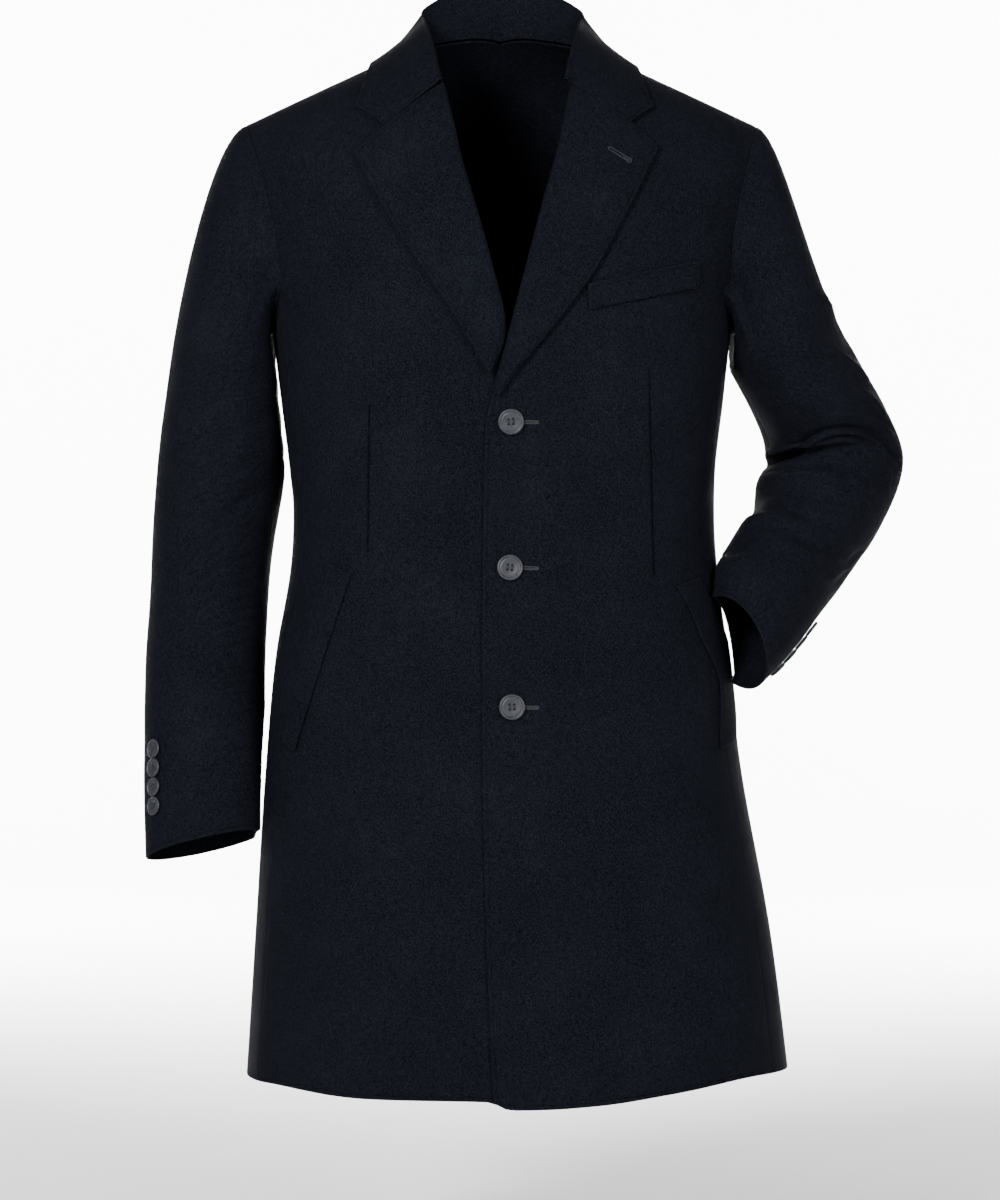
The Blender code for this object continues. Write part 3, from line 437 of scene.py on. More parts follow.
@dataclass
class Cloth:
    """One cut piece: two layers of points that become a wall with rounded edges.

    Attributes:
        node: the solid that it stands for.
        outer: the outer points, in rows and columns.
        inner: the inner points.
        held: how the cloth is held; not used.
        rests_on: the pieces that carry it; not used.
        free: whether the first row, last row, first column and last column are finished edges.
        border: how wide the cells along the edges are.
        rounding: the share of the wall that each layer gives up at an edge.
    """

    node: str
    outer: Grid
    inner: Grid
    held: Held
    rests_on: Sequence[str]
    free: tuple[bool, bool, bool, bool]
    border: float = 0.0010
    rounding: float = 0.14

    @property
    def name(self) -> str:
        """The piece's name, after its solid."""
        return f"cloth_{self.node}"

    def cut(self) -> tuple[float, float, float]:
        """Returns the cut's width, length and area, measured along the cloth."""
        wide = lengths(np.swapaxes(self.outer, 0, 1))[-1].max()
        long = lengths(self.outer)[-1].max()
        across = self.outer[1:, 1:] - self.outer[:-1, :-1]
        back = self.outer[1:, :-1] - self.outer[:-1, 1:]
        area = np.linalg.norm(np.cross(across, back), axis=-1).sum() / 2
        return float(wide), float(long), float(min(area, wide * long))

    def edges(self, outer: Grid) -> Grid:
        """Returns each point's distance from the nearest finished edge."""
        along = lengths(outer)
        across = np.swapaxes(lengths(np.swapaxes(outer, 0, 1)), 0, 1)
        all_four = (along, along[-1:] - along, across, across[:, -1:] - across)
        chosen = [distance for distance, wanted in zip(all_four, self.free) if wanted]
        return np.minimum.reduce(chosen) if chosen else np.full(along.shape, 1.0)

    def build(self, material: bpy.types.Material) -> bpy.types.Object:
        """Args:
            material: its cloth.

        Returns:
            The object.
        """
        wide, long, area = self.cut()
        outer, inner = bordered(self.outer, self.border), bordered(self.inner, self.border)
        seam, edge = np.zeros(outer.shape[:2], bool), np.zeros(outer.shape[:2], bool)
        seam[[0, -1]] = seam[:, [0, -1]] = True
        places = ((0, slice(None)), (-1, slice(None)), (slice(None), 0), (slice(None), -1))
        for place, finished_edge in zip(places, self.free):
            edge[place] = edge[place] | finished_edge
        through = (inner - outer) * self.rounding
        outer, inner = outer + through * seam[..., None], inner - through * edge[..., None]
        rows, columns = outer.shape[0] - 1, outer.shape[1] - 1
        form = bmesh.new()
        bmesh.ops.create_grid(form, x_segments=columns, y_segments=rows, size=1)
        first = list(form.verts)
        grown = bmesh.ops.extrude_face_region(form, geom=list(form.faces), use_keep_orig=True)
        second = [item for item in grown["geom"] if isinstance(item, bmesh.types.BMVert)]
        form.verts.index_update()
        cells = np.zeros((len(form.verts), 2), int)
        for corners, places in ((first, outer), (second, inner)):
            for corner in corners:
                row = round((corner.co.y + 1) / 2 * rows)
                column = round((corner.co.x + 1) / 2 * columns)
                corner.co = places[row, column]
                cells[corner.index] = row, column
        piece = finished(self.name, form, material)
        across = np.swapaxes(lengths(np.swapaxes(outer, 0, 1)), 0, 1)
        picked = (cells[:, 0], cells[:, 1])
        self.measure(piece.data, self.edges(outer)[picked], across[picked], lengths(outer)[picked])
        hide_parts(self.node)
        log.info("%s: cut %.3f by %.3f m, %.4f m2", self.name, wide, long, area)
        return piece

    @staticmethod
    def measure(mesh: bpy.types.Mesh, edge: Grid, across: Grid, along: Grid) -> None:
        """Stores each point's distance from an edge, and its place on the cut as the UV map."""
        store = mesh.attributes.new("edge", "FLOAT", "POINT")
        store.data.foreach_set("value", np.ascontiguousarray(edge, np.float32))
        corners = np.zeros(len(mesh.loops), np.int32)
        mesh.loops.foreach_get("vertex_index", corners)
        places = np.stack([across[corners], along[corners]], axis=1)
        layer = mesh.uv_layers.new(name="cut")
        layer.uv.foreach_set("vector", np.ascontiguousarray(places.ravel(), np.float32))


def linked(name: str, form: bmesh.types.BMesh) -> bpy.types.Object:
    """Makes an object in the scene from a mesh, which is freed.

    Args:
        name: its name.
        form: its mesh.

    Returns:
        The object.
    """
    mesh = bpy.data.meshes.new(name)
    form.to_mesh(mesh)
    form.free()
    made = bpy.data.objects.new(name, mesh)
    bpy.context.scene.collection.objects.link(made)
    return made


def finished(
    name: str, form: bmesh.types.BMesh, material: bpy.types.Material, sharp: float = SMOOTH
) -> bpy.types.Object:
    """Makes a smooth object that rides on the coat.

    Args:
        name: its name.
        form: its mesh, which is freed.
        material: its finish.
        sharp: the angle in degrees past which an edge stays sharp, if any does.

    Returns:
        The object, in the scene.
    """
    bmesh.ops.recalc_face_normals(form, faces=form.faces)
    if form.calc_volume(signed=True) < 0:
        bmesh.ops.reverse_faces(form, faces=form.faces)
    piece = linked(name, form)
    piece.data.shade_smooth()
    if sharp < SMOOTH:
        piece.data.set_sharp_from_angle(angle=math.radians(sharp))
    piece.data.materials.append(material)
    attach(piece, BODY)
    return piece


@dataclass(frozen=True)
class Panels:
    """The body's cut pieces on one side: front, side body and back."""

    side: Side
    form: BodyForm = FORM
    low_rows: int = 96
    arch_rows: int = 44
    junction: float = 1 + 1 / 11
    front_columns: int = 56
    back_columns: int = 44
    side_columns: int = 16
    underarm_power: float = 2.2
    seam_front: float = 0.932
    seam_back: float = 0.900
    shoulder_point: dict = field(default_factory=lambda: {Side.RIGHT: 0.2335, Side.LEFT: 0.2352})
    armhole_front: Table = (
        (-0.250, 0.1925, 0.2050), (-0.208, 0.2000, 0.2095), (-0.171, 0.2080, 0.2155),
        (-0.133, 0.2180, 0.2240), (-0.110, 0.2265, 0.2300),
    )
    armhole_back: Table = (
        (-0.215, 0.2020, 0.2060), (-0.180, 0.2060, 0.2105), (-0.140, 0.2160, 0.2200),
        (-0.112, 0.2250, 0.2280),
    )
    edge_left: Table = (
        (-0.980, -0.0050), (-0.830, -0.0115), (-0.620, -0.0155), (-0.450, -0.0145),
        (-0.372, -0.0120), (-0.350, -0.0075), (-0.339, -0.0026), (-0.310, 0.0060),
        (-0.234, 0.0262), (-0.172, 0.0424), (-0.128, 0.0545), (-0.093, 0.0612),
        (-0.068, 0.0660),
    )
    edge_right: Table = (
        (-0.980, 0.0340), (-0.420, 0.0340), (-0.372, 0.0310), (-0.345, 0.0200),
        (-0.310, 0.0053), (-0.235, -0.0094), (-0.169, -0.0277), (-0.142, -0.0357),
        (-0.102, -0.0446), (-0.070, -0.0518),
    )
    neck_side: float = 0.081
    neck_back: float = -0.014
    neck_middle: float = 0.050
    vent_top: float = -0.640
    underlap: float = 0.036
    vent_ease: float = 0.05
    vent_lift_z: Sequence[float] = (-0.640, -0.580)
    vent_lift_x: Sequence[float] = (0.042, 0.080)
    off_centre: float = 1e-6
    leave_turn: float = 4
    leave_drop: float = 0.05

    @property
    def label(self) -> str:
        """The side's name, as the solids have it."""
        return self.side.name.lower()

    @property
    def bearers(self) -> list[str]:
        """The front and the back on this side, which carry what is sewn between them."""
        return [f"cloth_front_{self.label}", f"cloth_back_{self.label}"]

    def levels(self) -> Grid:
        """Returns the rows' levels, from the hem to the shoulder."""
        low = np.linspace(0, 1, self.low_rows + 1)
        return np.concatenate([low, 1 + np.arange(1, self.arch_rows + 1) / self.arch_rows])

    def edge(self) -> Curve:
        """Returns the front's edge, roll line and neck, as x against the level."""
        rows = np.array(self.edge_left if self.side is Side.LEFT else self.edge_right)
        places = np.append(self.form.level_of(rows[:, 1], rows[:, 0]), 2.0)
        return Curve(places, np.append(rows[:, 1], self.side.value * self.neck_side))

    def neck(self) -> Curve:
        """Returns the back's neck edge, as its distance from the centre against the level."""
        low = float(self.form.level_of(0.0, self.neck_back))
        return Curve((low, (low + 2) / 2, 2.0), (0.0, self.neck_middle, self.neck_side))

    def seam(self, front: bool) -> Callable[[Grid], Grid]:
        """Returns the side or back seam's x, and above it the armhole's, against the level."""
        sign, form = self.side.value, self.form
        share = self.seam_front if front else self.seam_back
        rows = np.array(self.armhole_front if front else self.armhole_back)
        across = rows[:, 2 if self.side is Side.LEFT else 1]
        start = share * float(form.half_width(sign, self.junction))
        places = np.concatenate([[self.junction], form.level_of(across, rows[:, 0]), [2.0]])
        armhole = Curve(places, np.concatenate([[start], across, [self.shoulder_point[self.side]]]))

        def x_at(level: Grid) -> Grid:
            """Returns the seam's x at each level."""
            below = share * form.half_width(np.full(np.shape(level), sign), level)
            return sign * np.where(level <= self.junction + TINY, below, armhole(level))

        return x_at

    def patch(
        self, first: Grid, last: Grid, levels: Grid, columns: int, lift: Callable | None
    ) -> tuple[Grid, Grid]:
        """Makes the two layers between two edges.

        Args:
            first: the first edge's angle at each level.
            last: the last edge's angles.
            levels: the rows' levels.
            columns: how many cells lie across.
            lift: how far a point stands off the body, from its x and height.

        Returns:
            The outer and the inner points.
        """
        angles = first[:, None] + (last - first)[:, None] * np.linspace(0, 1, columns + 1)
        height = np.broadcast_to(levels[:, None], angles.shape)
        outer = self.form.place(angles, height)
        normal = self.form.normal(angles, height)
        if lift:
            outer = outer + normal * lift(outer[..., 0], outer[..., 2])[..., None]
        return outer, outer - normal * WALL

    def front(self) -> Cloth:
        """Lays out the front, from its edge to the side seam and the armhole."""
        levels = self.levels()
        first = self.form.angle_of(self.edge()(levels), levels)
        last = self.form.angle_of(self.seam(True)(levels), levels)
        lift = self.form.lap if self.side is Side.LEFT else None
        outer, inner = self.patch(first, last, levels, self.front_columns, lift)
        layers(outer, inner, (False, True), (False, True))
        free = (True, False, True, False)
        return Cloth(f"front_{self.label}", outer, inner, Held.HUNG, ["cloth_collar"], free)

    def back(self) -> Cloth:
        """Lays out the back, from the centre seam and its vent to the armhole and shoulder."""
        levels, sign = self.levels(), self.side.value
        low = float(self.form.level_of(0.0, self.neck_back))
        vent = float(self.form.level_of(0.0, self.vent_top))
        centre = np.full(levels.shape, sign * TINY)
        if self.side is Side.RIGHT:
            centre = centre + self.underlap * (1 - blend(levels, vent - self.vent_ease, vent))
        neck = sign * np.maximum(self.neck()(levels), self.off_centre)
        centre = np.where(levels > low, neck, centre)
        first = self.form.angle_of(centre, levels, front=False)
        if self.side is Side.RIGHT:
            first = np.where(first > 0, first - FULL_TURN, first)
        last = self.form.angle_of(self.seam(False)(levels), levels, front=False)

        def lift(x: Grid, z: Grid) -> Grid:
            """Returns how far the left back stands off the vent's underlap."""
            down = 1 - blend(z, *self.vent_lift_z)
            return self.form.lap_lift * down * (1 - blend(x, *self.vent_lift_x))

        stood = lift if self.side is Side.LEFT else None
        outer, inner = self.patch(first, last, levels, self.back_columns, stood)
        layers(outer, inner, (False, True), (True, True))
        free = (True, False, False, False)
        return Cloth(f"back_{self.label}", outer, inner, Held.HUNG, ["cloth_collar"], free)

    def tops(self, columns: int) -> Grid:
        """Returns the level where each column of the side body ends, under the arm."""
        across = np.abs(2 * np.arange(columns + 1) / columns - 1)
        return 1 + (self.junction - 1) * across**self.underarm_power

    def side_body(self) -> Cloth:
        """Lays out the side body, from the front seam to the back seam."""
        rows = self.levels()
        rows = rows[rows <= self.junction + TINY]
        first = self.form.angle_of(self.seam(True)(rows), rows)
        last = self.form.angle_of(self.seam(False)(rows), rows, front=False)
        shares = np.linspace(0, 1, self.side_columns + 1)
        angles = first[:, None] + (last - first)[:, None] * shares
        levels = rows[:, None] * self.tops(self.side_columns)[None] / rows[-1]
        outer = self.form.place(angles, levels)
        inner = outer - self.form.normal(angles, levels) * WALL
        layers(outer, inner, (False, True), (True, True))
        free = (True, False, False, False)
        return Cloth(f"side_{self.label}", outer, inner, Held.HUNG, self.bearers, free)

    def armhole(self) -> tuple[Grid, Grid, Grid]:
        """Finds the armhole, from the shoulder down the front and up the back.

        Returns:
            Its points, the normals there, and the way that the cloth leaves the body.
        """
        front, back, sign = self.seam(True), self.seam(False), self.side.value
        levels = self.levels()
        high = levels[levels >= self.junction - TINY][::-1]
        down = self.form.angle_of(front(high), high)
        up_levels = high[::-1][:-1]
        up = self.form.angle_of(back(up_levels), up_levels, front=False)
        shares = np.arange(1, self.side_columns) / self.side_columns
        last = self.form.angle_of(back(high[-1:]), high[-1:], front=False)[0]
        under = down[-1] + (last - down[-1]) * shares
        angle = np.concatenate([down, under, up])
        level = np.concatenate([high, self.tops(self.side_columns)[1:-1], up_levels])
        sizes = (len(down), len(under), len(up))
        aside = np.repeat([-self.leave_turn * sign, 0, self.leave_turn * sign], sizes)
        below = np.repeat([0.0, -self.leave_drop, 0.0], sizes)
        place, normal = self.form.bare(angle, level), self.form.normal(angle, level)
        return place, normal, unit(place - self.form.bare(angle + aside, level + below))


@dataclass
class Sleeve:
    """A sleeve: a tube from the armhole to the cuff, cut as a top sleeve and an under sleeve."""

    panels: Panels
    rings: Table
    rows: int
    fine: int
    twists: tuple[float, float]
    creases: Sequence[Crease]
    folds: Sequence[Fold] = ()
    cap_rows: int = 7
    cap_fine: int = 28
    clear: float = 0.0050
    clear_above: float = 0.028
    clear_ease: float = 0.020
    fore_seam: float = -82
    hind_seam: float = -172
    cap_along: tuple[float, float] = (0.45, 0.55)
    cap_outward: tuple[float, float] = (0.75, -0.25)
    cap_reach: tuple[float, float] = (0.38, 0.45)
    cap_low_from: float = -0.5
    end_reach: float = 1.1
    end_step: float = 0.04
    evening: tuple[float, ...] = (1.0, 2.0, 3.0, 2.0, 1.0)
    least_angle: float = -260
    twist_from: float = 0.1
    still_rows: float = 2.0

    def __post_init__(self) -> None:
        """Finds the armhole's points, their angles and the rings' curves."""
        self.start, self.normals, self.leaving = self.panels.armhole()
        high, low = self.start.max(axis=0), self.start.min(axis=0)
        middle, half = (high + low) / 2, (high - low) / 2
        from_middle = (self.start - middle) / half
        turns = np.degrees(np.arctan2(from_middle[:, 2], -from_middle[:, 1]))
        turns, reach = np.unwrap(turns, period=FULL_TURN), len(self.evening) // 2
        turns = np.concatenate([turns[-reach:] + FULL_TURN, turns, turns[:reach] - FULL_TURN])
        turns = np.convolve(turns, self.evening, "valid") / sum(self.evening)
        self.angles = (turns - self.least_angle) % FULL_TURN + self.least_angle
        along = run_along(np.array(self.rings)[:, :3])
        self.curves = columns_of(self.rings, along / along[-1])

    def ring(self, along: Grid, angle: Grid, out: Grid | float = 0.0) -> Grid:
        """Finds points of the tube below the cap.

        Args:
            along: the share of the tube's length.
            angle: the angle round the arm, 0 at the front and 90 on the outer side.
            out: how far to move out.

        Returns:
            The points.
        """
        given = (np.asarray(value, float) for value in (along, angle, out))
        along, angle, out = np.broadcast_arrays(*given)
        x, y, z, face_x, face_y, face_z, front, outer = (curve(along) for curve in self.curves)
        facing = unit(np.stack([face_x, face_y, face_z], axis=-1))
        forward = unit(np.array([0.0, -1.0, 0.0]) + facing * facing[..., 1:2])
        outward = np.cross(forward, facing) * self.panels.side.value
        turn = np.radians(angle)
        ahead = forward * ((front + out) * np.cos(turn))[..., None]
        aside = outward * ((outer + out) * np.sin(turn))[..., None]
        return np.stack([x, y, z], axis=-1) + ahead + aside

    def twist(self, angle: Grid, along: Grid) -> Grid:
        """Returns how far each line of the cloth has turned round the arm."""
        over = self.hind_seam + FULL_TURN - self.fore_seam
        share = np.where(
            angle > self.fore_seam,
            (angle - self.fore_seam) / over,
            np.where(
                angle < self.hind_seam,
                (angle + FULL_TURN - self.fore_seam) / over,
                (self.fore_seam - angle) / (self.fore_seam - self.hind_seam),
            ),
        )
        fore, hind = self.twists
        return (fore + (hind - fore) * share) * blend(along, self.twist_from, 1.0)

    def off_body(self, points: Grid) -> Grid:
        """Returns the points, moved outward until they are just clear of the body's side."""
        form = self.panels.form
        x, y, z = points[..., 0], points[..., 1], points[..., 2]
        below = form.underarm + self.clear_above - z
        height = np.minimum(z, form.underarm)
        depth = np.where(y < form.axis_y, form.column(3)(height), form.column(4)(height))
        share = np.minimum(np.abs(y - form.axis_y) / depth, 1)
        wide = form.half(np.full(x.shape, self.panels.side.value), height)
        least = wide * (1 - share**form.power) ** (1 / form.power)
        least = np.where(share < 1, least, 0) + self.clear * blend(below, 0, self.clear_ease)
        push = (below > 0) & (np.abs(x) < least)
        moved = points.copy()
        moved[..., 0] = np.where(push, self.panels.side.value * least, x)
        return moved

    def cap(self) -> Grid:
        """Returns the rows from the armhole to the upper arm."""
        t = np.linspace(0, 1, self.cap_fine + 1)[:, None, None]
        end = self.ring(0.0, self.angles)
        reach = np.linalg.norm(end - self.start, axis=-1, keepdims=True)
        top = np.sin(np.radians(self.angles))[:, None]
        outward = np.array([self.panels.side.value, 0.0, 0.0])
        begin = self.leaving * (self.cap_along[0] + self.cap_along[1] * np.abs(top))
        begin = unit(begin + outward * (self.cap_outward[0] + self.cap_outward[1] * np.abs(top)))
        begin = begin * reach * np.where(top > self.cap_low_from, *self.cap_reach)
        finish = unit(self.ring(self.end_step, self.angles) - end) * reach * self.end_reach
        points = (1 + 2 * t) * (1 - t) ** 2 * self.start + t * (1 - t) ** 2 * begin
        points = points + t * t * (3 - 2 * t) * end - t * t * (1 - t) * finish
        points[1:] = self.off_body(points[1:])
        return points

    def grids(self) -> tuple[Grid, Grid]:
        """Returns the outer and inner points of the whole tube."""
        tube_rows = np.linspace(self.cap_rows, self.cap_rows + self.rows, self.fine + 1)[1:, None]
        along = (tube_rows - self.cap_rows) / self.rows
        turned = self.angles[None] + self.twist(self.angles[None], along)
        tube = self.off_body(self.ring(along, turned))
        bare = np.concatenate([self.cap(), tube])
        normals = self.outward(bare)
        cap_rows = np.linspace(0, self.cap_rows, self.cap_fine + 1)[:, None]
        every_row = np.concatenate([cap_rows, tube_rows])
        every_turn = np.concatenate([np.repeat(self.angles[None], self.cap_fine + 1, 0), turned])
        out = sum(crease.depth(every_row, every_turn) for crease in self.creases)
        out = out + sum((fold.depth(bare, normals) for fold in self.folds), np.zeros(out.shape))
        out = out * blend(every_row, 0.0, self.still_rows)
        outer = bare + normals * out[..., None]
        inner = outer - self.outward(outer) * WALL
        outer[0] += self.leaving * SEAM_GAP
        inner[0] -= self.leaving * SEAM_HOLD
        return outer, inner

    def outward(self, grid: Grid) -> Grid:
        """Returns the tube's outward normals, and the body's own along the armhole."""
        around = np.roll(grid, -1, axis=1) - np.roll(grid, 1, axis=1)
        normals = unit(np.cross(around, np.gradient(grid, axis=0)))
        aside = (grid - grid.mean(axis=1, keepdims=True))[self.cap_fine :]
        if (normals[self.cap_fine :] * aside).sum() < 0:
            normals = -normals
        normals[0] = self.normals
        return normals

    def pieces(self) -> list[Cloth]:
        """Lays out the top sleeve and the under sleeve."""
        outer, inner = self.grids()
        fore = int(np.abs(self.angles - self.fore_seam).argmin())
        hind = int(np.abs(self.angles - self.hind_seam).argmin())
        under = list(range(fore, hind + 1))
        top = list(range(hind, len(self.angles))) + list(range(fore + 1))
        made = []
        for kind, columns in (("sleeve_top", top), ("sleeve_under", under)):
            out, within = outer[:, columns].copy(), inner[:, columns].copy()
            layers(out, within, (False, False), (True, True))
            name, rests = f"{kind}_{self.panels.label}", self.panels.bearers
            made.append(Cloth(name, out, within, Held.HUNG, rests, (False, True, False, False)))
        return made


def folds(front: Sequence[Table], back: Sequence[Table]) -> tuple[Fold, ...]:
    """Returns a sleeve's folds, from the points of those on its front and on its back."""
    return (*(Fold(points) for points in front), *(Fold(points, front=False) for points in back))


RIGHT_RINGS: Table = (
    (-0.2500, -0.004, -0.330, -0.17, 0.00, -0.98, 0.0700, 0.0530),
    (-0.2553, 0.004, -0.410, -0.10, 0.00, -0.99, 0.0660, 0.0585),
    (-0.2649, 0.008, -0.493, -0.05, -0.03, -1.00, 0.0640, 0.0554),
    (-0.2681, 0.006, -0.543, -0.02, -0.10, -1.00, 0.0610, 0.0549),
    (-0.2699, 0.000, -0.604, 0.00, -0.15, -1.00, 0.0570, 0.0549),
    (-0.2694, -0.010, -0.660, 0.02, -0.18, -1.00, 0.0520, 0.0558),
    (-0.2678, -0.035, -0.752, 0.22, -0.21, -0.95, 0.0440, 0.0546),
)
LEFT_RINGS: Table = (
    (0.2620, 0.012, -0.300, 0.38, 0.12, -0.92, 0.0680, 0.0545),
    (0.2830, 0.032, -0.335, 0.38, 0.25, -0.90, 0.0650, 0.0550),
    (0.3020, 0.055, -0.370, 0.30, 0.20, -0.93, 0.0640, 0.0590),
    (0.3105, 0.069, -0.400, 0.00, -0.15, -1.00, 0.0640, 0.0655),
    (0.2970, 0.052, -0.441, -0.33, -0.42, -0.84, 0.0600, 0.0600),
    (0.2746, 0.020, -0.481, -0.42, -0.50, -0.76, 0.0560, 0.0535),
    (0.2400, -0.030, -0.523, -0.45, -0.52, -0.72, 0.0510, 0.0526),
    (0.2103, -0.065, -0.5682, -0.77, -0.525, -0.36, 0.0447, 0.0455),
)
RIGHT_CREASES = (
    Crease(10.5, -40, 70, 1.00, -0.0030), Crease(12.5, 60, 60, 1.20, -0.0025),
    Crease(5.5, -20, 40, 0.60, -0.0020, 0.012), Crease(16.5, 120, 70, 0.60, -0.0014, 0.004),
)
RIGHT_FOLDS = (
    ((-196.2, -410.8, 7.3, 0.0), (-210.9, -426.4, 7.3, -2.6), (-231.1, -442.9, 8.3, -3.4),
     (-252.2, -461.2, 8.3, -2.9), (-270.5, -472.2, 8.3, 0.0)),
    ((-212.7, -392.4, 8.3, 0.0), (-238.4, -399.8, 8.3, 1.3), (-270.5, -409.0, 9.2, 1.6),
     (-293.4, -420.0, 9.2, 0.0)),
    ((-198.1, -475.0, 5.5, 0.8), (-212.7, -482.3, 6.4, 1.6), (-233.8, -486.0, 7.3, 1.3),
     (-254.9, -489.7, 8.3, 0.0)),
    ((-196.2, -346.6, 7.3, -1.3), (-218.2, -369.5, 8.3, -1.8), (-243.0, -383.3, 8.3, -1.0),
     (-265.9, -389.7, 8.3, 0.0)),
    ((-311.8, -397.0, 7.3, 0.0), (-300.8, -389.7, 7.3, -1.3), (-279.7, -383.3, 8.3, -1.6),
     (-261.3, -380.5, 8.3, 0.0)),
    ((-227.4, -566.7, 9.2, 0.0), (-252.2, -575.9, 11.0, -1.0), (-275.1, -589.6, 11.0, -1.0),
     (-293.4, -603.4, 11.0, 0.0)),
)
RIGHT_BACK_FOLDS = (
    ((-197.2, -397.0, 6.4, 0.0), (-218.2, -410.8, 7.3, -2.9), (-242.1, -420.0, 7.3, -3.6),
     (-267.8, -421.8, 7.3, -2.3), (-288.9, -416.3, 7.3, 0.0)),
    ((-199.9, -442.9, 6.4, 0.0), (-221.9, -449.3, 7.3, -2.6), (-247.6, -458.5, 7.3, -3.4),
     (-275.1, -456.6, 7.3, -1.8), (-295.3, -447.5, 7.3, 0.0)),
    ((-206.3, -427.3, 6.4, 0.0), (-229.2, -432.8, 6.4, 1.8), (-254.9, -438.3, 6.4, 1.8),
     (-279.7, -436.5, 6.4, 0.0)),
)
LEFT_CREASES = (
    Crease(13.5, -60, 75, 0.80, -0.0078), Crease(15.8, -60, 80, 0.80, 0.0040),
    Crease(17.2, -55, 75, 0.70, -0.0060), Crease(19.3, -50, 65, 0.80, 0.0050),
    Crease(21.2, -50, 60, 0.70, -0.0060), Crease(11.0, -40, 60, 0.90, -0.0040),
)
LEFT_FOLDS = (
    ((243.9, -407.1, 6.4, -1.0), (250.3, -399.8, 4.6, -3.5), (270.5, -392.4, 3.3, -5.5),
     (288.9, -380.5, 2.8, -7.4), (305.4, -375.0, 2.6, -7.4), (321.9, -373.2, 2.6, -7.0),
     (338.4, -375.0, 2.8, -7.0), (350.3, -381.4, 2.9, -7.4), (360.4, -391.5, 3.1, -7.4),
     (368.6, -402.5, 3.3, -4.8)),
    ((275.1, -398.0, 2.8, 0.0), (291.6, -389.7, 2.4, -3.2), (303.5, -384.2, 2.2, -4.8),
     (315.4, -381.4, 2.2, -5.1), (326.5, -382.4, 2.2, -4.5), (338.4, -387.9, 2.4, -2.2),
     (348.5, -394.3, 2.4, 0.0)),
    ((273.3, -389.7, 2.4, 0.0), (297.1, -379.6, 2.2, 1.9), (321.9, -377.3, 2.2, 2.6),
     (338.4, -380.1, 2.4, 3.2), (352.1, -387.9, 2.6, 3.8), (365.0, -401.6, 2.8, 3.2),
     (370.5, -409.0, 2.8, 1.6)),
    ((288.9, -368.6, 4.6, 0.0), (309.9, -361.3, 4.2, 2.2), (323.7, -360.4, 3.9, 3.2),
     (338.4, -363.1, 3.7, 3.5), (352.1, -370.4, 3.5, 3.5), (360.4, -377.8, 3.3, 1.9)),
    ((328.3, -348.4, 3.7, 0.0), (340.2, -353.9, 3.3, -2.9), (354.0, -364.9, 3.1, -3.5),
     (360.4, -370.4, 3.1, -1.9)),
    ((322.8, -333.8, 4.6, 0.0), (333.8, -340.2, 3.7, 2.6), (343.9, -347.5, 3.3, 3.2),
     (354.0, -359.4, 3.1, 2.6)),
    ((275.1, -294.3, 7.3, 0.0), (293.4, -299.8, 5.5, 2.1), (309.9, -308.1, 4.6, 3.2),
     (325.5, -318.2, 4.0, 3.5), (336.5, -326.4, 3.7, 2.2)),
    ((252.2, -240.2, 8.3, 0.0), (266.8, -244.8, 6.4, 1.9), (281.5, -252.1, 5.5, 3.2),
     (297.1, -258.6, 4.6, 3.5), (308.1, -267.7, 4.2, 2.2)),
    ((240.3, -251.2, 11.0, 0.0), (261.3, -264.1, 11.9, -3.2), (286.1, -276.9, 11.9, -4.2),
     (313.6, -287.9, 10.1, -2.6)),
    ((275.1, -311.8, 10.1, 0.0), (300.8, -322.8, 10.1, -2.9), (328.3, -335.6, 8.3, -2.6)),
    ((235.7, -351.2, 7.3, 0.0), (240.3, -369.5, 7.3, -1.6), (245.8, -386.0, 7.3, -2.2),
     (251.3, -398.0, 6.4, -1.0)),
    ((247.6, -412.6, 3.7, -1.2), (265.0, -409.0, 3.9, -3.0), (281.5, -406.2, 4.6, -3.8),
     (305.4, -405.3, 5.5, -2.9), (325.5, -410.8, 6.4, -3.2), (346.6, -419.0, 6.4, -3.2),
     (360.4, -425.5, 5.5, -1.3)),
    ((250.3, -419.0, 3.7, 0.4), (270.5, -414.5, 3.7, 2.2), (285.2, -413.5, 4.0, 1.9),
     (302.6, -416.3, 4.6, 0.6)),
    ((354.9, -394.3, 2.2, 0.0), (357.6, -407.1, 2.0, 2.6), (358.5, -418.1, 2.0, 2.9),
     (358.5, -431.0, 2.4, 1.0)),
    ((236.6, -438.3, 3.7, 1.6), (252.2, -435.5, 4.0, 2.6), (270.5, -438.3, 4.6, 2.2),
     (288.9, -445.6, 5.5, 0.6)),
    ((232.0, -452.1, 4.0, -1.5), (245.8, -445.6, 4.0, -4.5), (262.3, -446.6, 4.6, -3.5),
     (279.7, -453.9, 5.5, -2.2), (302.6, -465.8, 6.4, -0.6)),
    ((218.2, -465.8, 3.7, 1.0), (231.1, -457.6, 3.7, 2.2), (247.6, -454.8, 4.0, 2.2),
     (264.1, -459.4, 4.6, 1.3)),
    ((209.1, -484.1, 4.6, -1.5), (223.7, -470.4, 4.6, -4.5), (240.3, -463.1, 4.6, -4.2),
     (261.3, -467.6, 5.5, -3.2), (286.1, -479.6, 6.4, -2.6), (313.6, -488.7, 6.4, -1.6),
     (333.8, -489.7, 5.5, -0.6)),
    ((213.7, -493.3, 4.6, 1.3), (233.8, -479.6, 4.6, 2.2), (256.8, -479.6, 5.5, 1.9),
     (279.7, -489.7, 6.4, 1.0)),
    ((307.2, -493.3, 4.6, 0.0), (319.1, -495.2, 3.7, -2.6), (332.0, -486.9, 3.3, -3.2)),
    ((291.6, -511.7, 4.6, 0.0), (304.4, -515.3, 3.7, -2.2), (317.3, -507.1, 3.3, -2.9)),
)
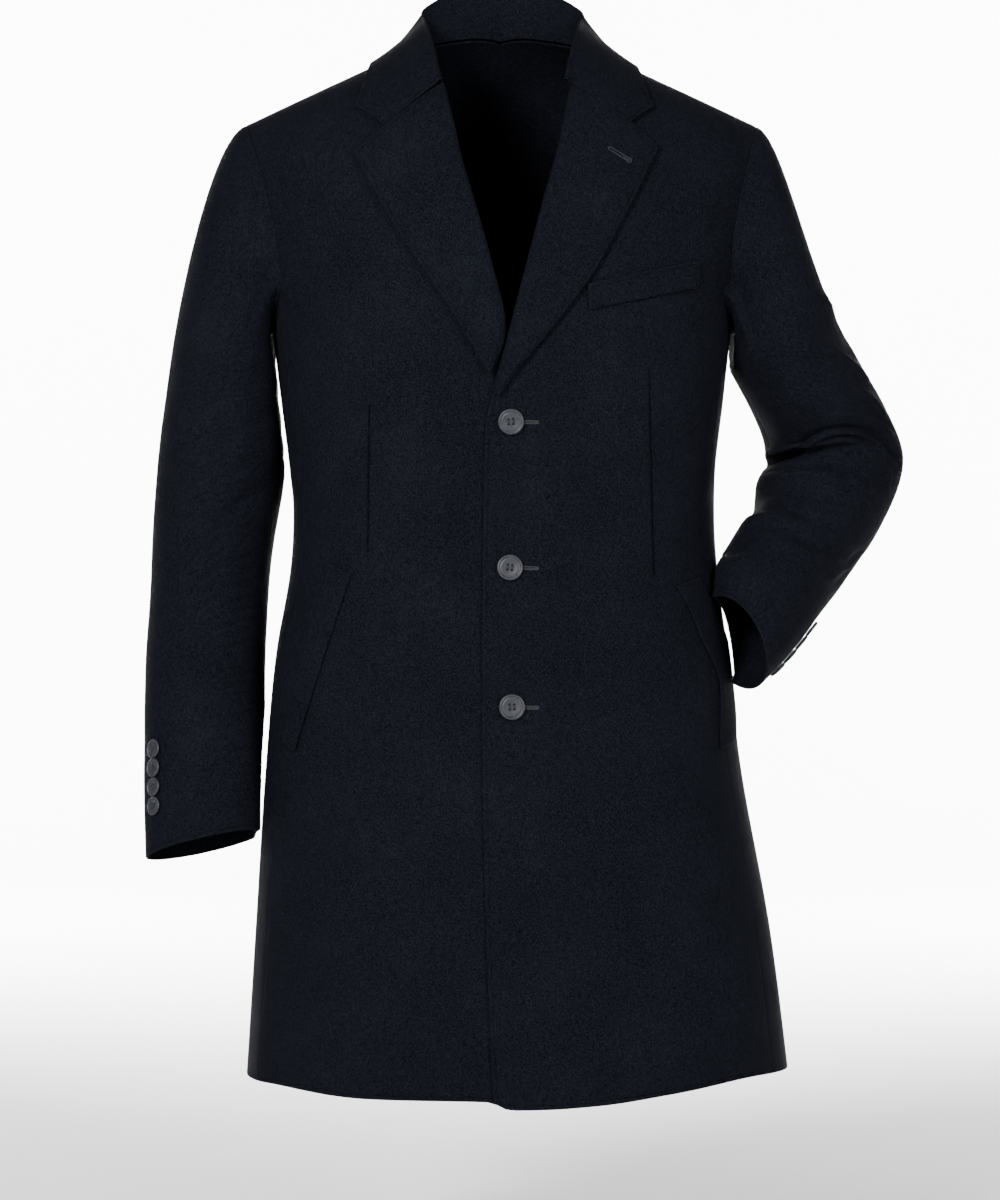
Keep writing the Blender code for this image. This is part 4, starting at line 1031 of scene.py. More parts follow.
LEFT_BACK_FOLDS = (
    ((243.0, -397.0, 5.5, -1.0), (261.3, -394.3, 4.6, -3.5), (286.1, -388.8, 4.6, -4.5),
     (316.4, -383.3, 4.6, -4.0), (348.5, -388.8, 4.6, -1.8)),
    ((243.0, -420.0, 5.5, -1.0), (264.1, -414.5, 5.5, -3.4), (288.9, -414.5, 5.5, -3.6),
     (316.4, -418.1, 5.5, -1.6), (334.7, -420.0, 5.5, 0.0)),
    ((252.2, -403.5, 4.6, 0.0), (276.9, -401.6, 4.6, 2.0), (304.4, -399.8, 4.6, 2.4),
     (332.0, -401.6, 4.6, 0.6)),
    ((275.1, -346.6, 8.3, 0.0), (302.6, -357.6, 7.3, -2.6), (332.0, -364.9, 6.4, -3.0),
     (352.1, -368.6, 5.5, -1.2)),
    ((229.2, -456.6, 5.5, -1.6), (252.2, -453.0, 6.4, -3.2), (276.9, -458.5, 7.3, -2.2),
     (302.6, -470.4, 7.3, 0.0)),
    ((267.8, -282.4, 11.0, 0.0), (288.9, -296.2, 11.0, -2.4), (313.6, -302.6, 9.2, -2.2),
     (330.1, -302.6, 8.3, 0.0)),
)


@dataclass(frozen=True)
class Lapel:
    """A lapel, from its roll over the front's edge to its own outer edge."""

    side: Side
    table: Table
    rows: int = 96
    columns: int = 40
    row_power: float = 1.15
    column_power: float = 1.4
    edge_out: float = 0.0032
    roll_out: float = 0.0022
    full_width: float = 0.020
    roll: Table = (
        (-0.0033, -0.0010, -0.0009, -0.0010),
        (-0.0029, 0.0022, -0.0009, 0.0010),
        (0.0004, 0.0050, 0.0012, 0.0024),
    )
    shares: Sequence[float] = (0.14, 0.34, 0.56, 0.78, 1.0)
    form: BodyForm = FORM

    def section(self, width: float) -> Grid:
        """Returns the lapel's section, for a place where it is this wide.

        Args:
            width: the distance from the roll line to the edge.

        Returns:
            Rows of how far the outer and the inner layer lie across and out.
        """
        scale = min(1.0, width / self.full_width)
        knots = [(line[0] * scale, *line[1:]) for line in self.roll]
        for share in self.shares:
            out = self.edge_out + self.roll_out * scale * math.sin(math.pi * share)
            knots.append((share * width, out + WALL, share * width, out))
        places = np.linspace(0, 1, self.columns + 1) ** self.column_power * (len(knots) - 1)
        curves = columns_of(knots, np.arange(len(knots)))
        return np.stack([curve(places) for curve in curves])

    def piece(self) -> Cloth:
        """Lays out the lapel."""
        along = run_along(np.array(self.table)[:, 2:])
        curves = columns_of(self.table, along / along[-1])
        outer, inner = [], []
        for row in range(self.rows + 1):
            share = (row / self.rows) ** self.row_power
            roll_x, roll_z, edge_x, edge_z = (float(curve(share)) for curve in curves)
            width = math.hypot(edge_x - roll_x, edge_z - roll_z)
            way_x, way_z = (edge_x - roll_x) / width, (edge_z - roll_z) / width
            across, out, across_in, out_in = self.section(width)
            outer.append(self.form.front(roll_x + way_x * across, roll_z + way_z * across, out)[0])
            place = (roll_x + way_x * across_in, roll_z + way_z * across_in, out_in)
            inner.append(self.form.front(*place)[0])
        label, free = self.side.name.lower(), (False, True, False, True)
        rests = [f"cloth_front_{label}"]
        outer, inner = np.array(outer), np.array(inner)
        return Cloth(f"lapel_{label}", outer, inner, Held.FOLDED, rests, free)


LAPEL_RIGHT: Table = (
    (-0.0070, -0.3270, -0.0100, -0.3300), (-0.0034, -0.3160, -0.0160, -0.3180),
    (0.0002, -0.3030, -0.0250, -0.3030), (0.0018, -0.2880, -0.0341, -0.2880),
    (-0.0094, -0.2350, -0.0651, -0.2400), (-0.0277, -0.1690, -0.0968, -0.1917),
    (-0.0357, -0.1420, -0.1072, -0.1720), (-0.0446, -0.1020, -0.1210, -0.1470),
    (-0.0518, -0.0710, -0.1294, -0.1328),
)
LAPEL_LEFT: Table = (
    (-0.0060, -0.3465, -0.0010, -0.3500), (-0.0026, -0.3390, 0.0130, -0.3300),
    (0.0060, -0.3100, 0.0380, -0.2990), (0.0262, -0.2340, 0.0790, -0.2450),
    (0.0424, -0.1720, 0.1092, -0.1900), (0.0545, -0.1280, 0.1255, -0.1580),
    (0.0612, -0.0930, 0.1345, -0.1390), (0.0660, -0.0690, 0.1401, -0.1274),
)


@dataclass(frozen=True)
class Collar:
    """The collar: one folded piece, stand and leaf, from gorge to gorge round the neck."""

    form: BodyForm = FORM
    stations: int = 64
    table: Table = (
        (0.0518, 1.566, 0.0050, 0.1287, 1.607, 1.0),
        (0.0550, 1.650, 0.0070, 0.1225, 1.680, 0.5),
        (0.0600, 1.830, 0.0110, 0.1175, 1.840, 0.1),
        (0.0610, 2.000, 0.0200, 0.1144, 2.000, 0.0),
        (0.0560, 2.070, 0.0330, 0.1040, 2.080, 0.0),
        (0.0330, 2.110, 0.0430, 0.0640, 2.180, 0.0),
        (0.0000, 2.120, 0.0455, 0.0000, 2.240, 0.0),
    )
    wider_fold: float = 0.0045
    wider_edge: float = 1.066
    wider_ease: float = 3
    gorge: dict = field(
        default_factory=lambda: {
            Side.RIGHT: (-0.1018, -0.1090, -0.1287, -0.0890),
            Side.LEFT: (0.1143, -0.1060, 0.1377, -0.0890),
        }
    )
    notch_share: float = 0.62
    edge_out: float = 0.0020
    leaf_columns: int = 30
    stand_columns: int = 6
    bend_columns: int = 6
    gorge_gap: float = 0.0011
    gorge_run: float = 0.45
    fall_power: float = 1.25
    fold_rise: float = 0.0008
    fold_inward: float = 0.0004
    stand_out: float = 0.0014
    stand_end: float = 0.12
    leaf_start: float = 0.05
    off_centre: float = 1e-5
    neck_middle: tuple[float, float, float] = (0.0, -0.01, 0.0)

    def shell(self, x: Grid, level: Grid, out: Grid) -> tuple[Grid, Grid]:
        """Finds points off the body, whose levels run past 2 down the back.

        Args:
            x: across, to the wearer's left.
            level: the levels.
            out: how far to move out.

        Returns:
            The points and the normals there.
        """
        x, level, out = np.broadcast_arrays(*(np.asarray(v, float) for v in (x, level, out)))
        height = np.where(level <= 2, level, 4 - level)
        ahead = self.form.angle_of(x, height)
        behind = self.form.angle_of(x, height, front=False)
        angle = np.where(level <= 2, ahead, behind)
        normal = self.form.normal(angle, height)
        return self.form.place(angle, height, out), normal

    def seam(self, side: Side, share: float) -> tuple[Grid, Grid]:
        """Returns the neck seam's point and the normal there, from the gorge to the centre back."""
        panels = Panels(side)
        roll = (panels.edge_left if side is Side.LEFT else panels.edge_right)[-1]
        start = float(self.form.level_of(roll[1], roll[0]))
        end = 4 - float(self.form.level_of(0.0, panels.neck_back))
        level = float(Curve((0.0, self.gorge_run, 1.0), (start, 2.0, end))(share))
        x = abs(float(panels.edge()(level))) if level <= 2 else float(panels.neck()(4 - level))
        return self.shell(side.value * max(x, self.off_centre), level, 0.0)

    def section(self, side: Side, share: float) -> tuple[Grid, Grid]:
        """Returns the outer and inner points of one section, from the stand to the leaf's edge."""
        sign, panels = side.value, Panels(side)
        fold_x, fold_level, fold_out, edge_x, edge_level, pull = (
            float(curve(share)) for curve in columns_of(self.table)
        )
        if side is Side.LEFT:
            fold_x += self.wider_fold * min(1, self.wider_ease * (1 - share))
            edge_x *= self.wider_edge
        if share == 0:
            roll = (panels.edge_left if side is Side.LEFT else panels.edge_right)[-1]
            fold_x = abs(roll[1])
            fold_level = float(self.form.level_of(roll[1], roll[0] + self.gorge_gap))
        fold, up = self.shell(sign * max(fold_x, self.off_centre), fold_level, fold_out)
        seam, body_up = self.seam(side, share)
        inward = unit((np.array(self.neck_middle) - seam) * np.array([1, 1, 0]))
        base = seam + body_up * self.stand_out
        parts = np.linspace(1, self.stand_end, self.stand_columns)[:, None]
        stand = fold + (base - fold) * parts
        parts = np.linspace(self.leaf_start, 1, self.leaf_columns)
        parts = np.sort(np.append(parts, self.notch_share))
        x = fold_x + (edge_x - fold_x) * parts
        level = fold_level + (edge_level - fold_level) * parts
        notch_x, notch_z, point_x, point_z = self.gorge[side]
        stops = (0.0, self.notch_share, 1.0)
        levels = self.form.level_of(np.array([notch_x, point_x]), np.array([notch_z, point_z]))
        line_x = np.interp(parts, stops, (fold_x, abs(notch_x), abs(point_x)))
        line_level = np.interp(parts, stops, (fold_level, *levels))
        x = x + (line_x - x) * pull**2
        level = level + (line_level - level) * pull**2
        out = self.edge_out + (fold_out - self.edge_out) * (1 - parts) ** self.fall_power
        leaf, normal = self.shell(sign * np.maximum(x, self.off_centre), level, out)
        top = fold + up * (self.fold_rise + WALL) + inward * self.fold_inward
        tops = (top, fold + up * self.fold_rise)
        sides = ((stand + inward * WALL, leaf + normal * WALL), (stand, leaf))
        t = np.linspace(0, 1, self.bend_columns + 2)[1:-1, None]
        layers_made = []
        for (start, end), top in zip(sides, tops):
            control = 2 * top - (start[-1] + end[0]) / 2
            bend = (1 - t) ** 2 * start[-1] + 2 * t * (1 - t) * control + t * t * end[0]
            layers_made.append(np.concatenate([start, bend, end]))
        return layers_made[0], layers_made[1]

    def piece(self) -> Cloth:
        """Lays out the collar."""
        outer, inner = [], []
        for station in range(-self.stations, self.stations + 1):
            share = 1 - abs(station) / self.stations
            out, within = self.section(Side.LEFT if station >= 0 else Side.RIGHT, share)
            outer.append(out)
            inner.append(within)
        rests = ["cloth_back_left", "cloth_back_right"]
        free = (True, True, False, True)
        return Cloth("collar", np.array(outer), np.array(inner), Held.FOLDED, rests, free)


@dataclass(frozen=True)
class Welt:
    """A welt, which lies on a front along its sewn edge and stands off a little at its mouth."""

    name: str
    table: Table
    rests: str
    rows: int = 44
    columns: int = 12
    out: float = 0.0006
    mouth_out: float = 0.0008
    most: float = 0.985
    form: BodyForm = FORM

    def piece(self) -> Cloth:
        """Lays out the welt."""
        along = np.linspace(0, 1, self.rows + 1)[:, None]
        seam_x, seam_z, edge_x, edge_z = (curve(along) for curve in columns_of(self.table))
        share = np.linspace(0, 1, self.columns + 1)[None]
        x, z = seam_x + (edge_x - seam_x) * share, seam_z + (edge_z - seam_z) * share
        most = self.most * self.form.half(x, np.minimum(z, self.form.underarm))
        x = np.copysign(np.minimum(np.abs(x), most), x)
        out = self.out + self.mouth_out * share + 0 * x
        inner, outer = self.form.front(x, z, out)[0], self.form.front(x, z, out + WALL)[0]
        free = (True, True, False, True)
        return Cloth(self.name, outer, inner, Held.LAID, [self.rests], free)


WELTS = (
    Welt(
        "welt_chest",
        ((0.0788, -0.2742, 0.0770, -0.2512), (0.1766, -0.2512, 0.1761, -0.2273)),
        "cloth_front_left",
    ),
    Welt(
        "welt_right",
        (
            (-0.1316, -0.5076, -0.1530, -0.4960),
            (-0.1580, -0.5880, -0.1770, -0.5780),
            (-0.1823, -0.6650, -0.1970, -0.6570),
        ),
        "cloth_front_right",
    ),
    Welt(
        "welt_left",
        (
            (0.1560, -0.5180, 0.1763, -0.5103),
            (0.1704, -0.5435, 0.1905, -0.5350),
            (0.1796, -0.5660, 0.2000, -0.5570),
            (0.1910, -0.5880, 0.2080, -0.5830),
            (0.1975, -0.6150, 0.2110, -0.6110),
            (0.1965, -0.6640, 0.2110, -0.6560),
        ),
        "cloth_front_left",
    ),
)


@dataclass(frozen=True)
class Button:
    """A four-hole button with a raised rim, a dished middle and its thread.

    Attributes:
        node: the solid that it stands for.
        place: the middle of its back.
        normal: the way it faces.
        radius: its radius.
        turn: how far it is turned, in degrees.
        profile: its half section in radii, as distances from the middle and heights.
        strand: the thread's radius, in the button's.
    """

    node: str
    place: Grid
    normal: Grid
    radius: float
    turn: float
    steps: int = 64
    profile: Table = (
        (0.00, 0.00), (0.84, 0.00), (0.93, 0.03), (0.98, 0.08), (1.00, 0.14),
        (1.00, 0.19), (0.98, 0.245), (0.94, 0.275), (0.89, 0.285), (0.84, 0.275),
        (0.81, 0.245), (0.79, 0.222), (0.77, 0.212), (0.74, 0.212), (0.72, 0.222),
        (0.69, 0.232), (0.60, 0.226), (0.46, 0.205), (0.30, 0.190), (0.00, 0.185),
    )
    hole_radius: float = 0.105
    hole_out: float = 0.175
    hole_deep: float = 0.10
    hole_flare: float = 1.25
    pin_sides: int = 20
    pin_length: float = 0.4
    pin_sink: float = 0.03
    sharp: float = 48
    strand: float = 0.042
    strand_sides: int = 8
    strand_apart: float = 0.6
    strand_room: float = 1.6
    loop_points: int = 15
    loop_over: float = 0.01
    loop_foot: float = 0.11
    loop_rise: float = 0.115

    def facing(self, form: bmesh.types.BMesh) -> None:
        """Turns a form made about the origin to the button's place."""
        turn = Vector(self.normal).to_track_quat("Z", "Y")
        spin = math.radians(self.turn)
        for vert in form.verts:
            x, y, z = vert.co * self.radius
            across = x * math.cos(spin) - y * math.sin(spin)
            along = x * math.sin(spin) + y * math.cos(spin)
            vert.co = turn @ Vector((across, along, z)) + Vector(self.place)

    def holes(self) -> list[tuple[float, float]]:
        """Returns the four holes' middles, in radii."""
        reach = self.hole_out
        return [(x, y) for x in (-reach, reach) for y in (-reach, reach)]

    def cutter(self) -> bpy.types.Object:
        """Makes the four pins that cut the holes."""
        form = bmesh.new()
        height = self.pin_length / 2 + self.hole_deep - self.pin_sink
        for x, y in self.holes():
            wide = {"radius1": self.hole_radius, "radius2": self.hole_radius * self.hole_flare}
            size = {"segments": self.pin_sides, "depth": self.pin_length, **wide}
            made = bmesh.ops.create_cone(form, cap_ends=True, **size)
            bmesh.ops.translate(form, verts=made["verts"], vec=(x, y, height))
        self.facing(form)
        return linked("pins", form)

    def build(self, material: bpy.types.Material, thread: bpy.types.Material) -> bpy.types.Object:
        """Makes the button and its thread.

        Args:
            material: the button's finish.
            thread: the thread's finish.

        Returns:
            The button.
        """
        form = bmesh.new()
        line = [form.verts.new((r, 0, h)) for r, h in self.profile]
        edges = [form.edges.new(pair) for pair in zip(line, line[1:])]
        turn = {"axis": (0, 0, 1), "angle": math.tau, "steps": self.steps, "use_merge": True}
        bmesh.ops.spin(form, geom=line + edges, cent=(0, 0, 0), **turn)
        bmesh.ops.remove_doubles(form, verts=form.verts, dist=1e-4)
        self.facing(form)
        disc = finished(f"round_{self.node}", form, material)
        pins = self.cutter()
        cut = disc.modifiers.new("holes", "BOOLEAN")
        cut.operation, cut.object, cut.solver = "DIFFERENCE", pins, "EXACT"
        graph = bpy.context.evaluated_depsgraph_get()
        mesh = bpy.data.meshes.new_from_object(disc.evaluated_get(graph))
        disc.modifiers.clear()
        disc.data = mesh
        mesh.shade_smooth()
        mesh.set_sharp_from_angle(angle=math.radians(self.sharp))
        bpy.data.objects.remove(pins, do_unlink=True)
        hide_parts(self.node)
        self.thread(thread)
        return disc

    def thread(self, material: bpy.types.Material) -> None:
        """Makes the thread: two pairs of strands that rise from one hole and sink in the next."""
        form = bmesh.new()
        for x in (-self.hole_out, self.hole_out):
            for apart in (-self.strand_apart, self.strand_apart):
                across = x + apart * self.strand * self.strand_room
                path = []
                for share in np.linspace(-1, 1, self.loop_points):
                    height = self.loop_foot + self.loop_rise * math.cos(math.pi / 2 * share) ** 0.5
                    path.append((across, share * (self.hole_out + self.loop_over), height))
                radii = np.full(len(path), self.strand)
                tube(form, np.array(path), radii, self.strand_sides, False)
        self.facing(form)
        finished(f"thread_{self.node}", form, material)


def tube(form: bmesh.types.BMesh, path: Grid, radii: Grid, sides: int, closed: bool) -> None:
    """Adds a tube along a path.

    Args:
        form: the mesh to add to.
        path: its points.
        radii: its radius at each point.
        sides: how many sides it has.
        closed: whether it runs round to its start.
    """
    if closed:
        ways = unit(np.roll(path, -1, axis=0) - np.roll(path, 1, axis=0))
    else:
        ways = unit(np.gradient(path, axis=0))
    aside = unit(np.cross(ways, np.array(ASKEW)))
    over = np.cross(ways, aside)
    turns = np.linspace(0, math.tau, sides, endpoint=False)
    rings = []
    for point, right, up, radius in zip(path, aside, over, radii):
        places = [point + radius * (right * math.cos(t) + up * math.sin(t)) for t in turns]
        rings.append([form.verts.new(place) for place in places])
    pairs = list(zip(rings, rings[1:] + rings[:1]))
    for first, second in pairs if closed else pairs[:-1]:
        for k in range(sides):
            form.faces.new((first[k], first[(k + 1) % sides], second[(k + 1) % sides], second[k]))
    if not closed:
        form.faces.new(rings[0])
        form.faces.new(rings[-1])


@dataclass(frozen=True)
class Buttonhole:
    """A worked buttonhole: a close row of purl stitches round a slit, with an eye at one end.

    Attributes:
        name: the piece's name.
        start: x and height of its plain end.
        end: x and height of its eye.
        lift: how far its cloth lies from the body's surface.
        half: half the distance between its two rows of stitches.
        bead: the radius of the stitched row.
        eye: how much wider it is at its eye.
        stitch: the distance between stitches.
        bed: how far its rows' middle stands off the cloth, in beads.
        beat: a stitch's least thickness, and what is added at its fullest.
        cut: half the slit's width, and by cut_ what shapes its eye and how deep it lies.
    """

    name: str
    start: tuple[float, float]
    end: tuple[float, float]
    lift: float
    half: float = 0.00125
    bead: float = 0.00062
    eye: float = 0.0007
    stitch: float = 0.0011
    step: float = 0.00022
    eye_reach: float = 0.0016
    sides: int = 10
    bed: float = 0.35
    beat: tuple[float, float] = (0.72, 0.28)
    cut: float = 0.00042
    cut_wide: float = 2.2
    cut_from: float = 0.9
    cut_past: float = 0.0006
    cut_depth: tuple[float, float] = (-0.0002, 0.00012)
    sharp: float = 30

    def outline(self) -> Grid:
        """Returns the loop's points, in metres along and across the slit."""
        length = math.dist(self.start, self.end)
        run = np.linspace(0, length, int(length / self.step))
        wide = self.half + self.eye * np.exp(-(((run - length) / self.eye_reach) ** 2))
        bends = [math.radians(bend) for bend in np.linspace(90, -90, 20)[1:-1]]
        far, near = wide[-1], wide[0]
        round_far = [(length + far * math.cos(b), far * math.sin(b)) for b in bends]
        round_near = [(-near * math.cos(b), -near * math.sin(b)) for b in bends]
        there, back = list(zip(run, wide)), list(zip(run[::-1], -wide[::-1]))
        return np.array(there + round_far + back + round_near)

    def on_cloth(self, flat: Grid, out: float) -> Grid:
        """Returns points of the slit's plane, laid on the cloth."""
        start, end = np.array(self.start), np.array(self.end)
        way = unit(end - start)
        over = np.array([-way[1], way[0]])
        places = start + flat[:, :1] * way + flat[:, 1:] * over
        return FORM.front(places[:, 0], places[:, 1], self.lift + out)[0]

    def build(self, thread: bpy.types.Material, slit: bpy.types.Material) -> None:
        """Makes the stitched loop, and within it a dark strip of painted shade for the slit.

        Args:
            thread: the stitches' finish.
            slit: the painted shade for the slit.
        """
        flat = self.outline()
        path = self.on_cloth(flat, self.bead * self.bed)
        run = run_along(path)
        beat = np.abs(np.sin(math.pi * run / self.stitch))
        form = bmesh.new()
        tube(form, path, self.bead * (self.beat[0] + self.beat[1] * beat), self.sides, True)
        finished(f"sewing_{self.name}", form, thread)
        # The slit: a thin dark slab of painted shade, where the cut opens between the stitches.
        length = math.dist(self.start, self.end)
        shape = [(0, -self.cut), (length * self.cut_from, -self.cut)]
        shape += [(length, -self.cut * self.cut_wide), (length + self.cut_past, 0)]
        shape += [(x, -y) for x, y in shape[-2::-1]]
        form = bmesh.new()
        low, high = (
            [form.verts.new(place) for place in self.on_cloth(np.array(shape), depth)]
            for depth in self.cut_depth
        )
        form.faces.new(low)
        form.faces.new(high)
        for k in range(len(low)):
            after = (k + 1) % len(low)
            form.faces.new((low[k], low[after], high[after], high[k]))
        finished(f"slit_{self.name}", form, slit, self.sharp)


@dataclass(frozen=True)
class ButtonSet:
    """All the coat's buttons: three on the front and four on each cuff.

    Attributes:
        front: each front button's x and height.
        cuffs: for each sleeve the buttons' angle round it, and the lowest one's way from the hem.
        search: the shares of a sleeve between which its buttons lie, from the hem up.
        turns: how far each is turned, in degrees: three on the front, then four on a cuff.
        hole_end: the x of the front buttonholes' far ends.
    """

    front: Sequence[tuple[float, float]] = ((0.0097, -0.3725), (0.0088, -0.5018), (0.0106, -0.6242))
    front_radius: float = 0.0115
    cuff_radius: float = 0.0086
    cuff_step: float = 0.0174
    cuff_steps: int = 48
    cuffs: Sequence[tuple[Side, float, float]] = (
        (Side.RIGHT, 50, 0.0408),
        (Side.LEFT, 92, 0.030),
    )
    search: tuple[float, float, int] = (1, 0.4, 400)
    look_turn: float = 4
    look_up: float = 0.03
    off_cloth: float = 0.0006
    turns: Sequence[float] = (3, -6, 2, 12, -20, 31, 5)
    hole_start: float = 0.004
    hole_end: float = 0.0326
    hole_drop: float = 0.0006
    hole_lift: float = 0.0001
    lapel_hole: Table = ((0.0958, -0.1318), (0.1128, -0.1421))
    lapel_lift: float = 0.0073
    lapel_bead: float = 0.0005

    def front_buttons(self) -> list[Button]:
        """Lays out the front's buttons."""
        made = []
        for number, (x, z) in enumerate(self.front, 1):
            place, normal = FORM.front(x, z, self.off_cloth)
            node, turn = f"button_front_{number}", self.turns[number - 1]
            made.append(Button(node, place, normal, self.front_radius, turn))
        return made

    def cuff_buttons(self, sleeve: Sleeve, angle: float, first: float) -> list[Button]:
        """Lays out a cuff's buttons, in a row up the sleeve from the hem.

        Args:
            sleeve: the sleeve that carries them.
            angle: where they lie round it.
            first: how far the lowest one lies from the hem.

        Returns:
            The buttons.
        """
        shares = np.linspace(*self.search)
        line = sleeve.ring(shares, angle)
        along = run_along(line)
        made = []
        for number in range(1, 5):
            share = float(np.interp(first + self.cuff_step * (4 - number), along, shares))
            before, after = angle - self.look_turn, angle + self.look_turn
            around = sleeve.ring(share, after) - sleeve.ring(share, before)
            centre = sleeve.ring(share, angle)
            normal = unit(np.cross(around, sleeve.ring(share - self.look_up, angle) - centre))
            if normal @ (sleeve.ring(share, angle, WALL) - centre) < 0:
                normal = -normal
            node, turn = f"button_cuff_{sleeve.panels.label}_{number}", self.turns[number + 2]
            place = centre + normal * self.off_cloth
            made.append(Button(node, place, normal, self.cuff_radius, turn, self.cuff_steps))
        return made

    def holes(self) -> list[Buttonhole]:
        """Lays out the front's buttonholes, and the one in the left lapel."""
        made = []
        for number, (x, z) in enumerate(self.front, 1):
            start, end = (x - self.hole_start, z), (self.hole_end, z - self.hole_drop)
            made.append(Buttonhole(f"buttonhole_{number}", start, end, self.hole_lift, eye=0.0))
        start, end = self.lapel_hole
        lapel = Buttonhole("buttonhole_lapel", start, end, self.lapel_lift, bead=self.lapel_bead)
        return [*made, lapel]


class Socket:
    """A number that flows through a material's nodes, with the usual arithmetic."""

    def __init__(self, nodes: "Nodes", source: bpy.types.NodeSocket) -> None:
        """Keeps the nodes that it belongs to and the socket that it comes from."""
        self.nodes = nodes
        self.source = source

    def _math(self, operation: str, *others: "Socket | float", clamp: bool = False) -> "Socket":
        """Returns the result of a Math node on this number and others."""
        node = self.nodes.add("ShaderNodeMath", operation=operation, use_clamp=clamp)
        for slot, value in zip(node.inputs, (self, *others)):
            self.nodes.feed(slot, value)
        return Socket(self.nodes, node.outputs[0])

    def __add__(self, other: "Socket | float") -> "Socket":
        """Returns the sum."""
        return self._math("ADD", other)

    __radd__ = __add__

    def __sub__(self, other: "Socket | float") -> "Socket":
        """Returns the difference."""
        return self._math("SUBTRACT", other)

    def __rsub__(self, other: float) -> "Socket":
        """Returns what is left of a number."""
        return self._math("MULTIPLY", -1.0)._math("ADD", other)

    def __mul__(self, other: "Socket | float") -> "Socket":
        """Returns the product."""
        return self._math("MULTIPLY", other)

    __rmul__ = __mul__

    def __truediv__(self, other: "Socket | float") -> "Socket":
        """Returns the quotient."""
        return self._math("DIVIDE", other)

    def sine(self) -> "Socket":
        """Returns the sine."""
        return self._math("SINE")

    def hill(self, middle: float, width: float) -> "Socket":
        """Returns 1 at the middle, falling smoothly to 0 on both sides within about the width."""
        aside = (self - middle) / width
        return (1.0 + aside * aside)._math("POWER", -2.0)

    def between(self, low: float, high: float, ease: float) -> "Socket":
        """Returns 1 between two values and 0 outside them, with soft ends."""
        return ((self - low) / ease + 0.5).clamped() * ((high - self) / ease + 0.5).clamped()

    def clamped(self) -> "Socket":
        """Returns the number held between 0 and 1."""
        return self._math("ADD", 0.0, clamp=True)


class Nodes:
    """One material's nodes."""

    def __init__(self, name: str) -> None:
        """Makes an empty material with a shader and an output."""
        self.material = bpy.data.materials.new(name)
        self.material.use_nodes = True
        self.tree = self.material.node_tree
        self.shader = self.tree.nodes["Principled BSDF"]

    def add(self, kind: str, **settings: object) -> bpy.types.Node:
        """Adds a node.

        Args:
            kind: its type.
            settings: its properties, and by a leading input_ the values of its sockets.

        Returns:
            The node.
        """
        node = self.tree.nodes.new(kind)
        for key, value in settings.items():
            if key.startswith("input_"):
                self.feed(node.inputs[key[6:].replace("_", " ")], value)
            else:
                setattr(node, key, value)
        return node

    def feed(self, slot: bpy.types.NodeSocket, value: object) -> None:
        """Links a socket to a number that flows, or sets it to a constant."""
        if isinstance(value, Socket):
            self.tree.links.new(value.source, slot)
        elif isinstance(value, bpy.types.NodeSocket):
            self.tree.links.new(value, slot)
        else:
            slot.default_value = value

    def where(self) -> bpy.types.NodeSocket:
        """Returns the point's own place, in metres."""
        return self.add("ShaderNodeTexCoord").outputs["Object"]

    def parts(self, vector: bpy.types.NodeSocket) -> list[Socket]:
        """Returns a vector's three numbers."""
        split = self.add("ShaderNodeSeparateXYZ", input_Vector=vector)
        return [Socket(self, part) for part in split.outputs]

    def noise(
        self, where: bpy.types.NodeSocket, scale: float, detail: float, rough: float = 0.55
    ) -> Socket:
        """Returns a noise about one half, at a scale for each metre."""
        node = self.add("ShaderNodeTexNoise", input_Vector=where, input_Scale=scale)
        node.inputs["Detail"].default_value = detail
        node.inputs["Roughness"].default_value = rough
        return Socket(self, node.outputs[0])

    def colour(self, tone: Socket, dark: Sequence[float], light: Sequence[float]) -> None:
        """Sets the shader's colour, between two by a tone, in linear light."""
        node = self.add("ShaderNodeMix", data_type="RGBA")
        self.feed(node.inputs[0], tone)
        node.inputs[6].default_value = (*dark, 1.0)
        node.inputs[7].default_value = (*light, 1.0)
        self.feed(self.shader.inputs["Base Color"], node.outputs[2])

    def bump(self, height: Socket, distance: float, strength: float) -> None:
        """Raises the shader's normal by a height."""
        node = self.add("ShaderNodeBump", input_Height=height, input_Distance=distance)
        node.inputs["Strength"].default_value = strength
        self.feed(self.shader.inputs["Normal"], node.outputs[0])


@dataclass(frozen=True)
class Groove:
    """A stitched line that sinks into a front, with painted shade along it: where it runs, from its
    low to its high end.
    """

    x: float
    lean: float
    low: float
    high: float
    width: float = 0.0011
    ease: float = 0.004


